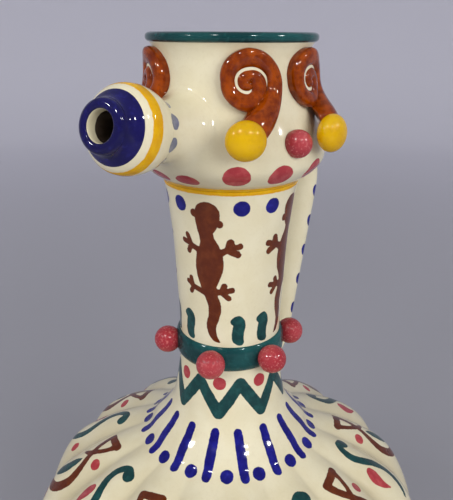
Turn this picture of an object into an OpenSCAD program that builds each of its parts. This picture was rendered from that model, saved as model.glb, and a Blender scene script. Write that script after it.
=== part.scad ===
// A large glazed puzzle jug: gadrooned body, tall neck with a collar of beads,
// a flared drinking bowl with curled scrolls, one drinking nozzle and a hollow handle.
// Lengths in millimetres. The foot stands on z = 0 and the axis of the jug is the z axis.
// The nozzle points to -Y and the handle stands on the +Y side.

/* [Foot] */
// Outer diameter of the turned foot ring
foot_d = 124; // [100:1:150]
// Height of the foot ring
foot_h = 10; // [6:0.5:16]
// Radial width of the foot ring
foot_w = 11; // [6:0.5:18]

/* [Body] */
// Largest diameter of the body, over the lobes
body_d = 214; // [180:1:250]
// Diameter of the flat underside of the body
base_d = 132; // [110:1:150]
// Height of the body below its widest line
body_low_h = 75; // [55:1:95]
// Height of the body above its widest line
body_up_h = 91; // [70:1:110]
// Depth of the valleys between the lobes
lobe_depth = 4.2; // [1:0.1:7]
// Wall of the body
body_wall = 5; // [3:0.25:8]

/* [Neck] */
// Height of the neck from the body to the throat of the bowl
neck_h = 125; // [90:1:160]
// Diameter where the neck leaves the body
neck_foot_d = 76; // [66:1:90]
// Diameter of the narrow part that carries the collar
neck_min_d = 48.4; // [42:0.2:54]
// Wall of the neck, the bowl and the nozzle
wall = 4.5; // [3:0.25:6]

/* [Collar] */
// Height of the collar band
collar_h = 12; // [8:0.5:18]
// Thickness of the collar band
collar_t = 2; // [1.4:0.1:6]
// Diameter of a collar bead
bead_d = 13; // [8:0.5:16]

/* [Bowl] */
// Height of the bowl from the throat to its top edge
bowl_h = 57.2; // [46:0.2:70]
// Diameter at the throat
throat_d = 60.5; // [54:0.5:68]
// Largest diameter of the belly of the bowl
belly_d = 82; // [74:0.5:92]
// Diameter at the waist, behind the scrolls
waist_d = 64; // [58:0.5:72]
// Diameter at the top edge, under the lip
edge_d = 67; // [62:0.5:72]
// Outer diameter of the rolled lip
rim_d = 72; // [66:0.5:80]
// Height of the rolled lip
rim_h = 4; // [3:0.2:7]

/* [Drinking channel] */
// Outer diameter of the liner that closes the ring channel
liner_d = 54; // [50:0.5:58]
// Wall of the liner
liner_wall = 3; // [2:0.25:5]
// Bore of the handle and of the suction tube
channel_d = 8.5; // [6:0.5:10]
// Wall of the suction tube
tube_wall = 1.8; // [1.2:0.1:3]
// Height of the tube end above the floor
tube_lift = 9; // [5:0.5:20]

/* [Nozzle] */
// Distance of the widest ring of the nozzle from the axis of the jug
nozzle_reach = 62.6; // [56:0.2:72]
// Upward tilt of the nozzle
nozzle_tilt = 11; // [0:0.5:20]
// Diameter of the nozzle bulb
bulb_d = 32.4; // [26:0.2:38]
// Diameter of the rolled nozzle lip
lip_d = 20; // [16:0.2:24]
// Bore of the nozzle
nozzle_bore = 12.5; // [9:0.5:15]

/* [Handle] */
// Width of the handle, across
handle_w = 18; // [14:0.5:22]
// Thickness of the handle
handle_t = 15; // [12.5:0.5:18]
// Radius of the upper bend of the handle
upper_bend = 23; // [18:0.5:30]
// Radius of the lower bend of the handle
lower_bend = 14; // [11:0.5:20]

/* [Scrolls] */
// Diameter of a curled scroll
scroll_d = 24.5; // [20:0.5:26]
// Height of the scroll above the bowl
scroll_relief = 5.2; // [3:0.2:7]
// Diameter of a hanging ball
ball_d = 15.2; // [11:0.2:18]
// Thickness of a hanging ball
ball_t = 11; // [8:0.2:14]
// Diameter of a stud on the belly
stud_d = 11.4; // [7:0.2:13]

/* [Hidden] */
$fn = 64;

// Counts and angles
lobe_count = 16;
lobe_steps = 6;
ring_count = lobe_count * lobe_steps;
bead_angles = [19.5, 75.5, 135, 252, 315];
scroll_angles = [45, 94, 266, 322];
stud_angles = [77, 122, 232, 297];
scroll_turn = 0.5;
ball_turn = -3;

// Clearance under faceted pieces that sit on a round wall
seat_gap = 0.04;

// Heights of the main lines above the foot
z_base = foot_h;
z_equator = z_base + body_low_h;
z_neck = z_equator + body_up_h;
z_throat = z_neck + neck_h;
z_edge = z_throat + bowl_h;

// Radii of the main lines
body_r = body_d / 2;
base_r = base_d / 2;
neck_foot_r = neck_foot_d / 2;
neck_r = neck_min_d / 2;
collar_d = neck_min_d + 2 * collar_t;
throat_r = throat_d / 2;
belly_r = belly_d / 2;
waist_r = waist_d / 2;
edge_r = edge_d / 2;
rim_r = rim_d / 2;
liner_r = liner_d / 2;
channel_r = channel_d / 2;

// Value between a and b at a share
function mix(a, b, share) = a + (b - a) * share;

// One point of a smooth curve between p1 and p2
function spline(p0, p1, p2, p3, t) =
    0.5 * (2 * p1 + (p2 - p0) * t
        + (2 * p0 - 5 * p1 + 4 * p2 - p3) * t * t
        + (3 * p1 - p0 - 3 * p2 + p3) * t * t * t);

// Smooth curve through a list of stations, with a number of steps in each span
function smooth(stations, steps) =
    let (last = len(stations) - 1)
    concat(
        [for (i = [0 : last - 1], k = [0 : steps - 1])
            spline(stations[max(i - 1, 0)], stations[i],
                stations[i + 1], stations[min(i + 2, last)], k / steps)],
        [stations[last]]);

// Outline of the bowl from the throat up, as radius and height
bowl_low_shares = [[0, 0], [0.6, 0.08], [0.93, 0.16], [1, 0.27]];
bowl_up_shares = [[0.83, 0.37], [0.46, 0.51], [0.08, 0.70]];
waist_share = 0.86;
bowl_stations = concat(
    [for (s = bowl_low_shares) [mix(throat_r, belly_r, s[0]), z_throat + s[1] * bowl_h]],
    [for (s = bowl_up_shares) [mix(waist_r, belly_r, s[0]), z_throat + s[1] * bowl_h]],
    [[waist_r, z_throat + waist_share * bowl_h], [edge_r, z_edge]]);
bowl_outline = smooth(bowl_stations, 3);

// Radius of the bowl at a height
bowl_table = [for (q = bowl_outline) [q[1], q[0]]];
function bowl_r(z) = lookup(z, bowl_table);

// Seats of the liner inside the bowl
seat_h_share = 0.10;
low_seat_share = 0.02;
high_seat_share = 0.62;
seat_h = seat_h_share * bowl_h;
z_low_seat = z_throat + low_seat_share * bowl_h;
z_high_seat = z_throat + high_seat_share * bowl_h;
gallery_shares = [0.16, 0.27, 0.37, 0.51];

// Outline of the neck from the body up
neck_low_shares = [[1, 0], [0.86, 0.018], [0.6, 0.05], [0.29, 0.106], [0.15, 0.18], [0.06, 0.25]];
neck_up_shares = [[0.03, 0.50], [0.18, 0.617], [0.36, 0.772], [0.78, 0.948], [1, 1]];
collar_mid_share = 0.363;
z_collar = z_neck + collar_mid_share * neck_h;
collar_half = collar_h / 2;
neck_low = smooth(concat(
    [for (s = neck_low_shares) [mix(neck_r, neck_foot_r, s[0]), z_neck + s[1] * neck_h]],
    [[neck_r, z_collar - collar_half]]), 3);
neck_up = smooth(concat(
    [[neck_r, z_collar + collar_half]],
    [for (s = neck_up_shares) [mix(neck_r, throat_r, s[0]), z_neck + s[1] * neck_h]]), 3);
neck_outline = concat(neck_low, neck_up);
neck_table = [for (q = neck_outline) [q[1], q[0]]];
function neck_at(z) = lookup(z, neck_table);

// Outline of the body, each half from the widest line
body_up_shares = [[0, 0], [0.03, 0.2], [0.09, 0.395], [0.247, 0.613], [0.456, 0.752],
    [0.664, 0.85], [0.86, 0.914], [0.95, 0.955], [1, 1]];
body_low_shares = [[0, 0], [0.04, 0.2], [0.13, 0.42], [0.32, 0.64], [0.58, 0.82], [1, 1]];
body_up_stations = [for (s = body_up_shares)
    [mix(body_r, neck_foot_r, s[0]), z_equator + s[1] * body_up_h]];
body_low_stations = [for (s = body_low_shares)
    [mix(body_r, base_r, s[0]), z_equator - s[1] * body_low_h]];
body_up_outline = smooth(body_up_stations, 2);
body_low_outline = smooth(body_low_stations, 2);
lobe_up_share = 0.75;
lobe_low_share = 0.6;
lobe_round = 0.8;

// Direction square to an outline at one of its points, pointing away from the axis
function outline_normal(points, i, side) =
    let (last = len(points) - 1)
    let (d = points[min(i + 1, last)] - points[max(i - 1, 0)])
    side * [d[1], -d[0]] / norm(d);

// How much of the full lobe depth stands at a point of an outline
function lobe_share(share) = share < 0 ? 0 : share > 1 ? 1 : share * share * (3 - 2 * share);

// Height of a lobe round the jug, 0 on the ridge and 1 in the valley
function valley(angle) = 1 - pow(abs(cos(angle * lobe_count / 2)), lobe_round);

// Point at a radius, an angle round the jug from the nozzle, and a height
function around(r, angle, z) = [r * sin(angle), -r * cos(angle), z];

// Quads of a grid of rings, cut in two, with the rings counted along the outline
function grid_faces(rings, count) =
    [for (i = [0 : rings - 2], j = [0 : count - 1], half = [0, 1])
        let (k = (j + 1) % count)
        half == 0
            ? [i * count + j, (i + 1) * count + j, (i + 1) * count + k]
            : [i * count + j, (i + 1) * count + k, i * count + k]];

// Rings of points of a lobed wall, outside first and then back along the inside
function lobed_ring(p, n, depth) =
    [for (j = [0 : ring_count - 1])
        let (a = j * 360 / ring_count)
        let (q = p - n * depth * valley(a))
        around(q[0], a, q[1])];
function plain_ring(r, z) =
    [for (j = [0 : ring_count - 1]) around(r, j * 360 / ring_count, z)];

// Upper half of the body: outside from the widest line up, inside back down
module body_upper() {
    last = len(body_up_outline) - 1;
    outer = [for (i = [0 : last])
        let (p = body_up_outline[i])
        let (n = i == 0 || i == last ? [1, 0] : outline_normal(body_up_outline, i, 1))
        let (fade = lobe_share((p[0] - neck_foot_r) / (body_r - neck_foot_r) / lobe_up_share))
        lobed_ring(p, n, lobe_depth * fade)];
    inner = [for (i = [last, last - 4, last - 7, last - 10, last - 13, 0])
        let (p = body_up_outline[i])
        let (n = i == 0 || i == last ? [1, 0] : outline_normal(body_up_outline, i, 1))
        let (deep = i == last ? wall : body_wall + lobe_depth)
        plain_ring(p[0] - n[0] * deep, p[1] - n[1] * deep)];
    rings = concat(outer, inner, [outer[0]]);
    count = len(rings) - 1;
    points = [for (ring = concat(outer, inner), q = ring) q];
    closing = [for (f = grid_faces(count + 1, ring_count))
        [for (v = f) v >= count * ring_count ? v - count * ring_count : v]];
    color("Ivory") polyhedron(points, closing, convexity = 8);
}

// Lower half of the body with a flat floor
module body_lower() {
    last = len(body_low_outline) - 1;
    outer = [for (i = [last : -1 : 0])
        let (p = body_low_outline[i])
        let (n = i == 0 ? [1, 0] : outline_normal(body_low_outline, i, -1))
        let (fade = i == 0 ? 1 : lobe_share((p[0] - base_r) / (body_r - base_r) / lobe_low_share))
        lobed_ring(p, n, lobe_depth * fade)];
    inner = [for (i = [0, 3, 5, 7, 8])
        let (p = body_low_outline[i])
        let (n = i == 0 ? [1, 0] : outline_normal(body_low_outline, i, -1))
        let (deep = body_wall + lobe_depth)
        plain_ring(p[0] - n[0] * deep, p[1] - n[1] * deep)];
    floor_ring = [plain_ring(base_r - body_wall, z_base + body_wall)];
    rings = concat(outer, inner, floor_ring);
    points = [for (ring = rings, q = ring) q];
    top = (len(rings) - 1) * ring_count;
    under = [for (j = [0 : ring_count - 1]) j];
    floor_face = [for (j = [ring_count - 1 : -1 : 0]) top + j];
    color("Ivory") polyhedron(points,
        concat(grid_faces(len(rings), ring_count), [under], [floor_face]), convexity = 8);
}

// Turned foot ring under the body
module foot_ring() {
    foot_r = foot_d / 2;
    edge = foot_w / 4;
    color("Ivory") rotate_extrude() polygon([
        [foot_r - foot_w, 0], [foot_r - edge, 0], [foot_r, edge],
        [foot_r - edge / 2, foot_h - edge], [foot_r - edge / 2, foot_h],
        [foot_r - foot_w, foot_h]]);
}

// Solid form of the neck, used to seat pieces against it
module neck_blank() {
    rotate_extrude() polygon(concat([[0, z_neck]], neck_outline, [[0, z_throat]]));
}

// Neck with its passage and the hole to the handle
module neck() {
    inside = [for (i = [len(neck_outline) - 1 : -1 : 0])
        [neck_outline[i][0] - wall, neck_outline[i][1]]];
    color("Ivory") difference() {
        rotate_extrude() polygon(concat(neck_outline, inside));
        translate([0, neck_foot_r, z_handle_low]) rotate([90, 0, 0])
            cylinder(d = channel_d, h = neck_foot_r);
    }
}

// Section of the collar band
collar_steps = 8;
collar_edge_share = 0.25;
collar_curve = [for (k = [0 : collar_steps])
    let (v = 2 * k / collar_steps - 1)
    [mix(neck_r, collar_d / 2, 1 - (1 - collar_edge_share) * v * v), z_collar + v * collar_half]];

// Solid form of the collar, used to seat the beads
module collar_blank() {
    rotate_extrude() polygon(concat(
        [[0, z_collar - collar_half]], collar_curve, [[0, z_collar + collar_half]]));
}

// Raised band round the narrow part of the neck
module collar_ring() {
    color("DarkSlateGray") rotate_extrude() polygon(concat(
        [[neck_r, z_collar - collar_half]], collar_curve, [[neck_r, z_collar + collar_half]]));
}

// Half outline of a round bead of a diameter
bead_steps = 16;
function half_round(d) = [for (k = [0 : bead_steps])
    [d / 2 * sin(180 * k / bead_steps), -d / 2 * cos(180 * k / bead_steps)]];

// Bead on the collar, sunk a little way into the band
bead_sink_share = 0.18;
module collar_bead(index) {
    r = collar_d / 2 + bead_d / 2 - bead_sink_share * bead_d;
    color("LightCoral") rotate([0, 0, bead_angles[index]]) difference() {
        translate([0, -r, z_collar]) rotate([90, 0, 0]) rotate_extrude()
            polygon(half_round(bead_d));
        collar_blank();
    }
}

// Solid form of the bowl, used to seat pieces against it
module bowl_blank() {
    rotate_extrude() polygon(concat([[0, z_throat]], bowl_outline, [[0, z_edge]]));
}

// Bowl with the outer wall of the ring channel
module bowl() {
    inside = concat(
        [[edge_r - wall, z_edge], [liner_r, z_high_seat + seat_h], [liner_r, z_high_seat]],
        [for (k = [len(gallery_shares) - 1 : -1 : 0])
            let (z = z_throat + gallery_shares[k] * bowl_h) [bowl_r(z) - wall, z]],
        [[liner_r, z_low_seat + seat_h], [liner_r, z_low_seat],
         [throat_r - wall, z_low_seat], [throat_r - wall, z_throat]]);
    color("Ivory") difference() {
        rotate_extrude() polygon(concat(bowl_outline, inside));
        translate([0, belly_r + wall, z_handle_top]) rotate([90, 0, 0])
            cylinder(d = channel_d, h = 3 * wall);
        nozzle_place() translate([0, 0, -nozzle_back])
            cylinder(d = nozzle_bore, h = nozzle_back);
    }
}

// Rolled lip on the top edge of the bowl
rim_lift_share = 0.8;
module rim_ring() {
    roll = rim_h / 2;
    z_roll = z_edge + roll * rim_lift_share;
    in_r = edge_r - wall + roll / 2;
    color("Teal") rotate_extrude() difference() {
        union() {
            translate([rim_r - roll, z_roll]) circle(r = roll);
            translate([in_r, z_roll]) circle(r = roll);
            translate([in_r, z_roll - roll]) square([rim_r - roll - in_r, 2 * roll]);
        }
        translate([0, z_edge - rim_h]) square([rim_d, rim_h]);
    }
}

// Inner wall that closes the ring channel in the belly of the bowl
module gallery_liner() {
    inner_r = liner_r - liner_wall;
    top = z_high_seat + seat_h;
    color("Ivory") rotate_extrude() polygon([
        [inner_r, z_low_seat], [liner_r, z_low_seat], [liner_r, top],
        [inner_r + liner_wall / 2, top], [inner_r, top - liner_wall]]);
}

// Line of the handle: two bends joined by their common tangent, in the plane x = 0
handle_top_share = 0.228;
handle_low_share = 0.2;
z_handle_top = z_throat + handle_top_share * bowl_h;
z_handle_low = z_neck + handle_low_share * neck_h;
bend_1_y = belly_r - wall;
bend_1_z = z_handle_top - upper_bend;
bend_2_y = neck_at(z_handle_low) - wall / 2;
bend_2_z = z_handle_low + lower_bend;
bend_dy = bend_1_y - bend_2_y;
bend_dz = bend_1_z - bend_2_z;
bend_gap = sqrt(bend_dy * bend_dy + bend_dz * bend_dz);
handle_lean = atan2(bend_dy, bend_dz) + asin((upper_bend - lower_bend) / bend_gap);
upper_steps = 11;
lower_steps = 8;
tube_count = 20;

// Angles of the bends that lie outside the bowl and the neck
upper_angles = [for (k = [0 : upper_steps])
    mix(78, -handle_lean, k / upper_steps)];
lower_angles = [for (k = [0 : lower_steps])
    mix(-handle_lean, -74, k / lower_steps)];
handle_line = concat(
    [for (a = upper_angles) [bend_1_y + upper_bend * cos(a), bend_1_z + upper_bend * sin(a), a]],
    [for (a = lower_angles) [bend_2_y + lower_bend * cos(a), bend_2_z + lower_bend * sin(a), a]]);

// Ring of a tube in the plane x = 0: half width across, half thickness along the bend radius
function tube_ring(q, wide, thick) =
    [for (k = [0 : tube_count - 1])
        let (a = 360 * k / tube_count)
        [wide * cos(a), q[0] + thick * sin(a) * cos(q[2]), q[1] + thick * sin(a) * sin(q[2])]];

// End ring of a tube that runs along y, laid on a round wall
function bowl_ring(wide, thick) =
    [for (k = [0 : tube_count - 1])
        let (a = 360 * k / tube_count)
        let (x = wide * cos(a), z = z_handle_top + thick * sin(a))
        let (r = bowl_r(z) + seat_gap)
        [x, sqrt(r * r - x * x), z]];
function neck_ring(wide, thick, side, depth) =
    [for (k = [0 : tube_count - 1])
        let (a = 360 * k / tube_count)
        let (x = wide * cos(a), z = z_handle_low + side * thick * sin(a))
        let (r = neck_at(z) - depth)
        [x, sqrt(r * r - x * x), z]];

// Tube from a list of outer rings and the inner rings that match them
module tube(outer, inner) {
    count = len(outer) + len(inner);
    back = [for (i = [len(inner) - 1 : -1 : 0]) inner[i]];
    points = [for (ring = concat(outer, back), q = ring) q];
    faces = [for (f = grid_faces(count + 1, tube_count))
        [for (v = f) v >= count * tube_count ? v - count * tube_count : v]];
    polyhedron(points, faces, convexity = 10);
}

// Hollow oval handle from the belly of the bowl to the foot of the neck
module handle() {
    wide = handle_w / 2;
    thick = handle_t / 2;
    outer = concat([bowl_ring(wide, thick)],
        [for (q = handle_line) tube_ring(q, wide, thick)],
        [neck_ring(wide, thick, -1, -seat_gap)]);
    inner = concat([bowl_ring(channel_r, channel_r)],
        [for (q = handle_line) tube_ring(q, channel_r, channel_r)],
        [neck_ring(channel_r, channel_r, -1, -seat_gap)]);
    color("Ivory") tube(outer, inner);
}

// Suction tube from the foot of the handle to the floor of the body
tube_bend_share = 0.45;
module siphon_tube() {
    tube_r = channel_r + tube_wall;
    bend = tube_bend_share * (neck_at(z_handle_low) - wall);
    bend_y = neck_at(z_handle_low) - wall - tube_wall;
    bend_z = z_handle_low - bend;
    z_end = z_base + body_wall + tube_lift;
    line = concat(
        [for (a = [100 : 16 : 180]) [bend_y + bend * cos(a), bend_z + bend * sin(a), a]],
        [[bend_y - bend, z_end, 180]]);
    outer = concat([neck_ring(tube_r, tube_r, 1, wall + seat_gap)],
        [for (q = line) tube_ring(q, tube_r, tube_r)]);
    inner = concat([neck_ring(channel_r, channel_r, 1, wall + seat_gap)],
        [for (q = line) tube_ring(q, channel_r, channel_r)]);
    color("Ivory") tube(outer, inner);
}

// Place of the nozzle: the middle of its widest ring, with its axis along z
nozzle_root_share = 0.411;
z_nozzle_root = z_throat + nozzle_root_share * bowl_h;
nozzle_run = nozzle_reach - belly_r;
z_nozzle = z_nozzle_root + nozzle_run * tan(nozzle_tilt);
nozzle_back = (nozzle_reach - liner_r) / cos(nozzle_tilt) - wall;
bulb_r = bulb_d / 2;
lip_r = lip_d / 2;
bore_r = nozzle_bore / 2;

// Outlines along the nozzle, as shares of the bulb radius or of the run that they follow
stem_shares = [[0.98, -1], [0.86, -0.72], [0.76, -0.5]];
bulb_back_shares = [[0.89, -0.42], [0.97, -0.21]];
bulb_front_shares = [[1, 0], [0.95, 0.24], [0.8, 0.4]];
tip_shares = [[1, 0], [0.55, 0.22], [0.12, 0.5]];
tip_run_share = 0.5;
tip_waist_share = 0.9;
bulb_back = bulb_back_shares[0] * bulb_r;
bulb_front = bulb_front_shares[2] * bulb_r;
tip_len = tip_run_share * bulb_r;
module nozzle_place() {
    translate([0, -nozzle_reach, z_nozzle]) rotate([90 - nozzle_tilt, 0, 0]) children();
}

// Flared stem between the bowl and the bulb
module nozzle_stem() {
    run = (nozzle_reach - waist_r) / cos(nozzle_tilt);
    color("Ivory") difference() {
        nozzle_place() difference() {
            rotate_extrude() polygon(concat([[0, -run]],
                smooth(concat([for (s = stem_shares) [s[0] * bulb_r, s[1] * run]],
                    [bulb_back]), 4),
                [[0, bulb_back[1]]]));
            translate([0, 0, -run]) cylinder(d = nozzle_bore, h = run);
        }
        bowl_blank();
    }
}

// Round bulb with its bore
module nozzle_bulb() {
    color("Khaki") nozzle_place() rotate_extrude() polygon(concat(
        [[bore_r, bulb_back[1]]],
        smooth([for (s = concat(bulb_back_shares, bulb_front_shares)) s * bulb_r], 3),
        [[bore_r, bulb_front[1]]]));
}

// Flared drinking tip with a rolled lip
module nozzle_tip() {
    lip_roll = (lip_r - bore_r) / 2;
    z_lip = bulb_front[1] + tip_len - lip_roll;
    waist = lip_r - tip_waist_share * lip_roll;
    color("RoyalBlue") nozzle_place() rotate_extrude() difference() {
        union() {
            polygon(concat([[bore_r, bulb_front[1]]],
                smooth(concat(
                    [for (s = tip_shares)
                        [mix(waist, bulb_front[0], s[0]), bulb_front[1] + s[1] * tip_len]],
                    [[waist, z_lip]]), 3),
                [[bore_r, z_lip]]));
            translate([lip_r - lip_roll, z_lip]) circle(r = lip_roll);
        }
        square([bore_r, bulb_front[1] + 2 * tip_len]);
    }
}

// Line of one scroll in the sheet of the bowl wall: sideways, up, and out from the wall
scroll_steps = 30;
tail_steps = 8;
section_count = 8;

// Coil from its outer to its inner end: turns, then inner and outer edge in scroll radii
coil_turns = 1.5;
coil_shares = [[0, 0.416, 1], [0.125, 0.4, 0.985], [0.25, 0.385, 0.96], [0.375, 0.355, 0.925],
    [0.5, 0.325, 0.885], [0.625, 0.305, 0.845], [0.75, 0.285, 0.79], [0.8125, 0.2, 0.62],
    [0.875, 0.11, 0.47], [1, 0.035, 0.32], [1.125, 0.03, 0.285], [1.25, 0.03, 0.265],
    [1.375, 0.03, 0.245], [1.5, 0.03, 0.225]];
coil_in_shares = [for (s = coil_shares) [s[0], s[1]]];
coil_out_shares = [for (s = coil_shares) [s[0], s[2]]];
function coil_turn(u) = coil_turns * (1 - u);
function coil_inner(u) = lookup(coil_turn(u), coil_in_shares) * scroll_d / 2;
function coil_outer(u) = lookup(coil_turn(u), coil_out_shares) * scroll_d / 2;
coil_mid = (coil_inner(1) + coil_outer(1)) / 2;
coil_half = (coil_outer(1) - coil_inner(1)) / 2;
scroll_z_share = 0.742;
ball_z_share = 0.413;
ball_out_share = 0.27;
z_scroll = z_throat + scroll_z_share * bowl_h;
z_ball = z_throat + ball_z_share * bowl_h;
ball_r = bowl_r(z_ball) + ball_t / 2 + ball_out_share * ball_d;
drop = z_scroll - z_ball;

// Flat seat of the ball, up and to one side, where the tail ends
seat_angle = 43;
seat_out_share = 0.4;
end_half_share = 0.37;
end_high_share = 0.62;
seat_out = seat_out_share * ball_d;
end_half = end_half_share * ball_d;
end_high = end_high_share * ball_t;

// Corners of the curve of the tail: sideways in middle radii, down in drops, out in full reach
tail_shares = [[1, 0, 0], [1.05, -0.3, 0], [0.92, -0.55, 0.45], [0.5, -0.73, 1]];
tail_reach_share = 0.95;
tail_wide_share = 1.3;
tail_out = tail_reach_share * (ball_r - end_high / 2) - bowl_r(z_scroll + tail_shares[3][1] * drop);
tail_corners = [for (s = tail_shares)
    [s[0] * coil_mid, s[1] * drop, seat_gap + s[2] * tail_out]];

// Bezier point for the tail
function bezier(a, b, c, d, t) =
    let (s = 1 - t)
    s * s * s * a + 3 * s * s * t * b + 3 * s * t * t * c + t * t * t * d;
function bezier_way(a, b, c, d, t) =
    let (s = 1 - t)
    s * s * (b - a) + 2 * s * t * (c - b) + t * t * (d - c);
function coil_point(u) =
    let (angle = 360 * coil_turn(u), rho = (coil_inner(u) + coil_outer(u)) / 2)
    [rho * cos(angle), rho * sin(angle), seat_gap];
function coil_side(u) =
    let (angle = 360 * coil_turn(u))
    [-cos(angle), -sin(angle)];
function tail_point(t) = bezier(
    tail_corners[0], tail_corners[1], tail_corners[2], tail_corners[3], t);
function tail_side(t) =
    let (d = bezier_way(tail_corners[0], tail_corners[1], tail_corners[2], tail_corners[3], t))
    [d[1], -d[0]] / norm([d[0], d[1]]);

// Middle of the base, direction to the inner edge, half width and height of the scroll at each step
scroll_line = concat(
    [for (k = [0 : scroll_steps - 1]) coil_point(k / scroll_steps)],
    [for (k = [0 : tail_steps]) tail_point(k / tail_steps)]);
scroll_side = concat(
    [for (k = [0 : scroll_steps - 1]) coil_side(k / scroll_steps)],
    [for (k = [0 : tail_steps]) tail_side(k / tail_steps)]);
scroll_half = concat(
    [for (k = [0 : scroll_steps - 1])
        (coil_outer(k / scroll_steps) - coil_inner(k / scroll_steps)) / 2],
    [for (k = [0 : tail_steps]) coil_half * mix(1, tail_wide_share, k / tail_steps)]);
scroll_high = concat(
    [for (k = [0 : scroll_steps - 1]) scroll_relief],
    [for (k = [0 : tail_steps]) mix(scroll_relief, end_high, k / tail_steps)]);

// Point of the bowl wall from its sheet, for a scroll at an angle
function on_bowl(q, angle) =
    let (z = z_scroll + q[1])
    let (turn = q[0] / waist_r * 180 / PI)
    around(bowl_r(z) + q[2], angle + turn, z);

// One section of a scroll: a round crown over a base of three points
section_angles = [for (k = [0 : section_count - 2]) 180 * k / (section_count - 2)];
function scroll_ring(i, angle) =
    let (side = scroll_side[i], q = scroll_line[i])
    concat(
        [for (a = section_angles)
            let (w = scroll_half[i] * cos(a), h = scroll_high[i] * sin(a))
            on_bowl([q[0] + side[0] * w, q[1] + side[1] * w, q[2] + h], angle)],
        [on_bowl(q, angle)]);

// Last section: flat, on the seat of the ball
function scroll_end(turn) =
    let (out = around(1, turn, 0), side = [cos(turn), sin(turn), 0], up = [0, 0, 1])
    let (way = side * cos(seat_angle) + up * sin(seat_angle))
    let (across = up * cos(seat_angle) - side * sin(seat_angle))
    let (middle = around(ball_r, turn, z_ball) + way * seat_out)
    concat(
        [for (a = section_angles)
            middle + across * end_half * cos(a) + out * (end_high * sin(a) - end_high / 2)],
        [middle - out * end_high / 2]);

// Curled scroll with its tail
module scroll(index) {
    angle = scroll_angles[index];
    rings = concat(
        [for (i = [0 : len(scroll_line) - 1]) scroll_ring(i, angle + scroll_turn)],
        [scroll_end(angle + ball_turn)]);
    points = [for (ring = rings, q = ring) q];
    top = (len(rings) - 1) * section_count;
    last = section_count - 1;
    head = [for (k = [0 : last - 2]) [last, k, k + 1]];
    end = [for (k = [0 : last - 2]) [top + last, top + k + 1, top + k]];
    color("Peru") polyhedron(points,
        concat(grid_faces(len(rings), section_count), head, end), convexity = 10);
}

// Hanging ball at the end of a scroll, flattened towards the jug, with a flat seat
ball_steps = 16;
module ball(index) {
    turn = scroll_angles[index] + ball_turn;
    half_outline = [for (k = [0 : ball_steps])
        let (a = 180 * k / ball_steps)
        [ball_d / 2 * sin(a), -ball_t / 2 * cos(a)]];
    color("Gold") translate(around(ball_r, turn, z_ball)) rotate([0, 0, turn]) difference() {
        rotate([90, 0, 0]) rotate_extrude() polygon(half_outline);
        rotate([0, -seat_angle, 0]) translate([seat_out, -ball_d, -ball_d])
            cube([ball_d, 2 * ball_d, 2 * ball_d]);
    }
}

// Stud on the belly of the bowl
stud_z_share = 0.342;
stud_in_share = 0.1;
module stud(index) {
    z = z_throat + stud_z_share * bowl_h;
    color("LightCoral") rotate([0, 0, stud_angles[index]]) difference() {
        translate([0, stud_in_share * stud_d - bowl_r(z), z]) rotate([90, 0, 0])
            rotate_extrude() polygon(half_round(stud_d));
        bowl_blank();
    }
}

foot_ring();
body_lower();
body_upper();
neck();
collar_ring();
collar_bead(0);  // collar_bead_1
collar_bead(1);  // collar_bead_2
collar_bead(2);  // collar_bead_3
collar_bead(3);  // collar_bead_4
collar_bead(4);  // collar_bead_5
bowl();
rim_ring();
gallery_liner();
siphon_tube();
handle();
nozzle_stem();
nozzle_bulb();
nozzle_tip();
scroll(0);  // scroll_1
scroll(1);  // scroll_2
scroll(2);  // scroll_3
scroll(3);  // scroll_4
ball(0);  // ball_1
ball(1);  // ball_2
ball(2);  // ball_3
ball(3);  // ball_4
stud(0);  // stud_1
stud(1);  // stud_2
stud(2);  // stud_3
stud(3);  // stud_4
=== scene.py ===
# %% [markdown]
# A glazed puzzle jug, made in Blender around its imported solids.
# The jug stands on z = 0 with its axis on z, the drinking nozzle towards -Y and the handle on +Y.
# Every piece is turned, swept or rolled as a potter would make it, and then painted and glazed.

# %% Load the frame
import math

import bpy
import numpy as np
from mathutils import Matrix, Vector


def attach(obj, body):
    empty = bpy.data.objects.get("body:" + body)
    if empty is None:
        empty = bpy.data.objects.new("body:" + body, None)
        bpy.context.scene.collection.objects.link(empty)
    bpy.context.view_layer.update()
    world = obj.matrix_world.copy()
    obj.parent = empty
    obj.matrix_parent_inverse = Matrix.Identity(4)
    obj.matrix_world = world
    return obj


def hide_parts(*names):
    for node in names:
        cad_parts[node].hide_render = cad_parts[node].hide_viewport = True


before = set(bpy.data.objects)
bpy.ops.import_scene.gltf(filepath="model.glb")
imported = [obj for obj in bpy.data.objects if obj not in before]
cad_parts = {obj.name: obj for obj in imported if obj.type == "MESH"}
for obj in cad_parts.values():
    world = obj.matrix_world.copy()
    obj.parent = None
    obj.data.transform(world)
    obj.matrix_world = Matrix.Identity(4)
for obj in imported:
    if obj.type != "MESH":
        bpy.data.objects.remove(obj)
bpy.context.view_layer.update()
MM = 0.001
print("solids in the frame:", len(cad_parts))

# %% [markdown]
# The camera comes first, because every later choice is looked at through it.
# The photograph was taken from close by, at the height of the lip, looking down by about twenty degrees.
# The lens and the distance were fitted to the round lines of the lip, the throat and the collar.

# %% Camera
VIEW_ANGLE = 35.7
VIEW_FAR = 264.4 * MM
VIEW_HIGH = 361.4 * MM
VIEW_DOWN = 19.91
VIEW_ASIDE = -0.39
VIEW_ROLL = 0.3
SENSOR_MM = 36.0
FOCAL_PX = 600
PICTURE_H_PX = 500


def around(r, angle, z):
    """A point at a radius, an angle round the jug from the nozzle, and a height."""
    a = math.radians(angle)
    return Vector((r * math.sin(a), -r * math.cos(a), z))


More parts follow.
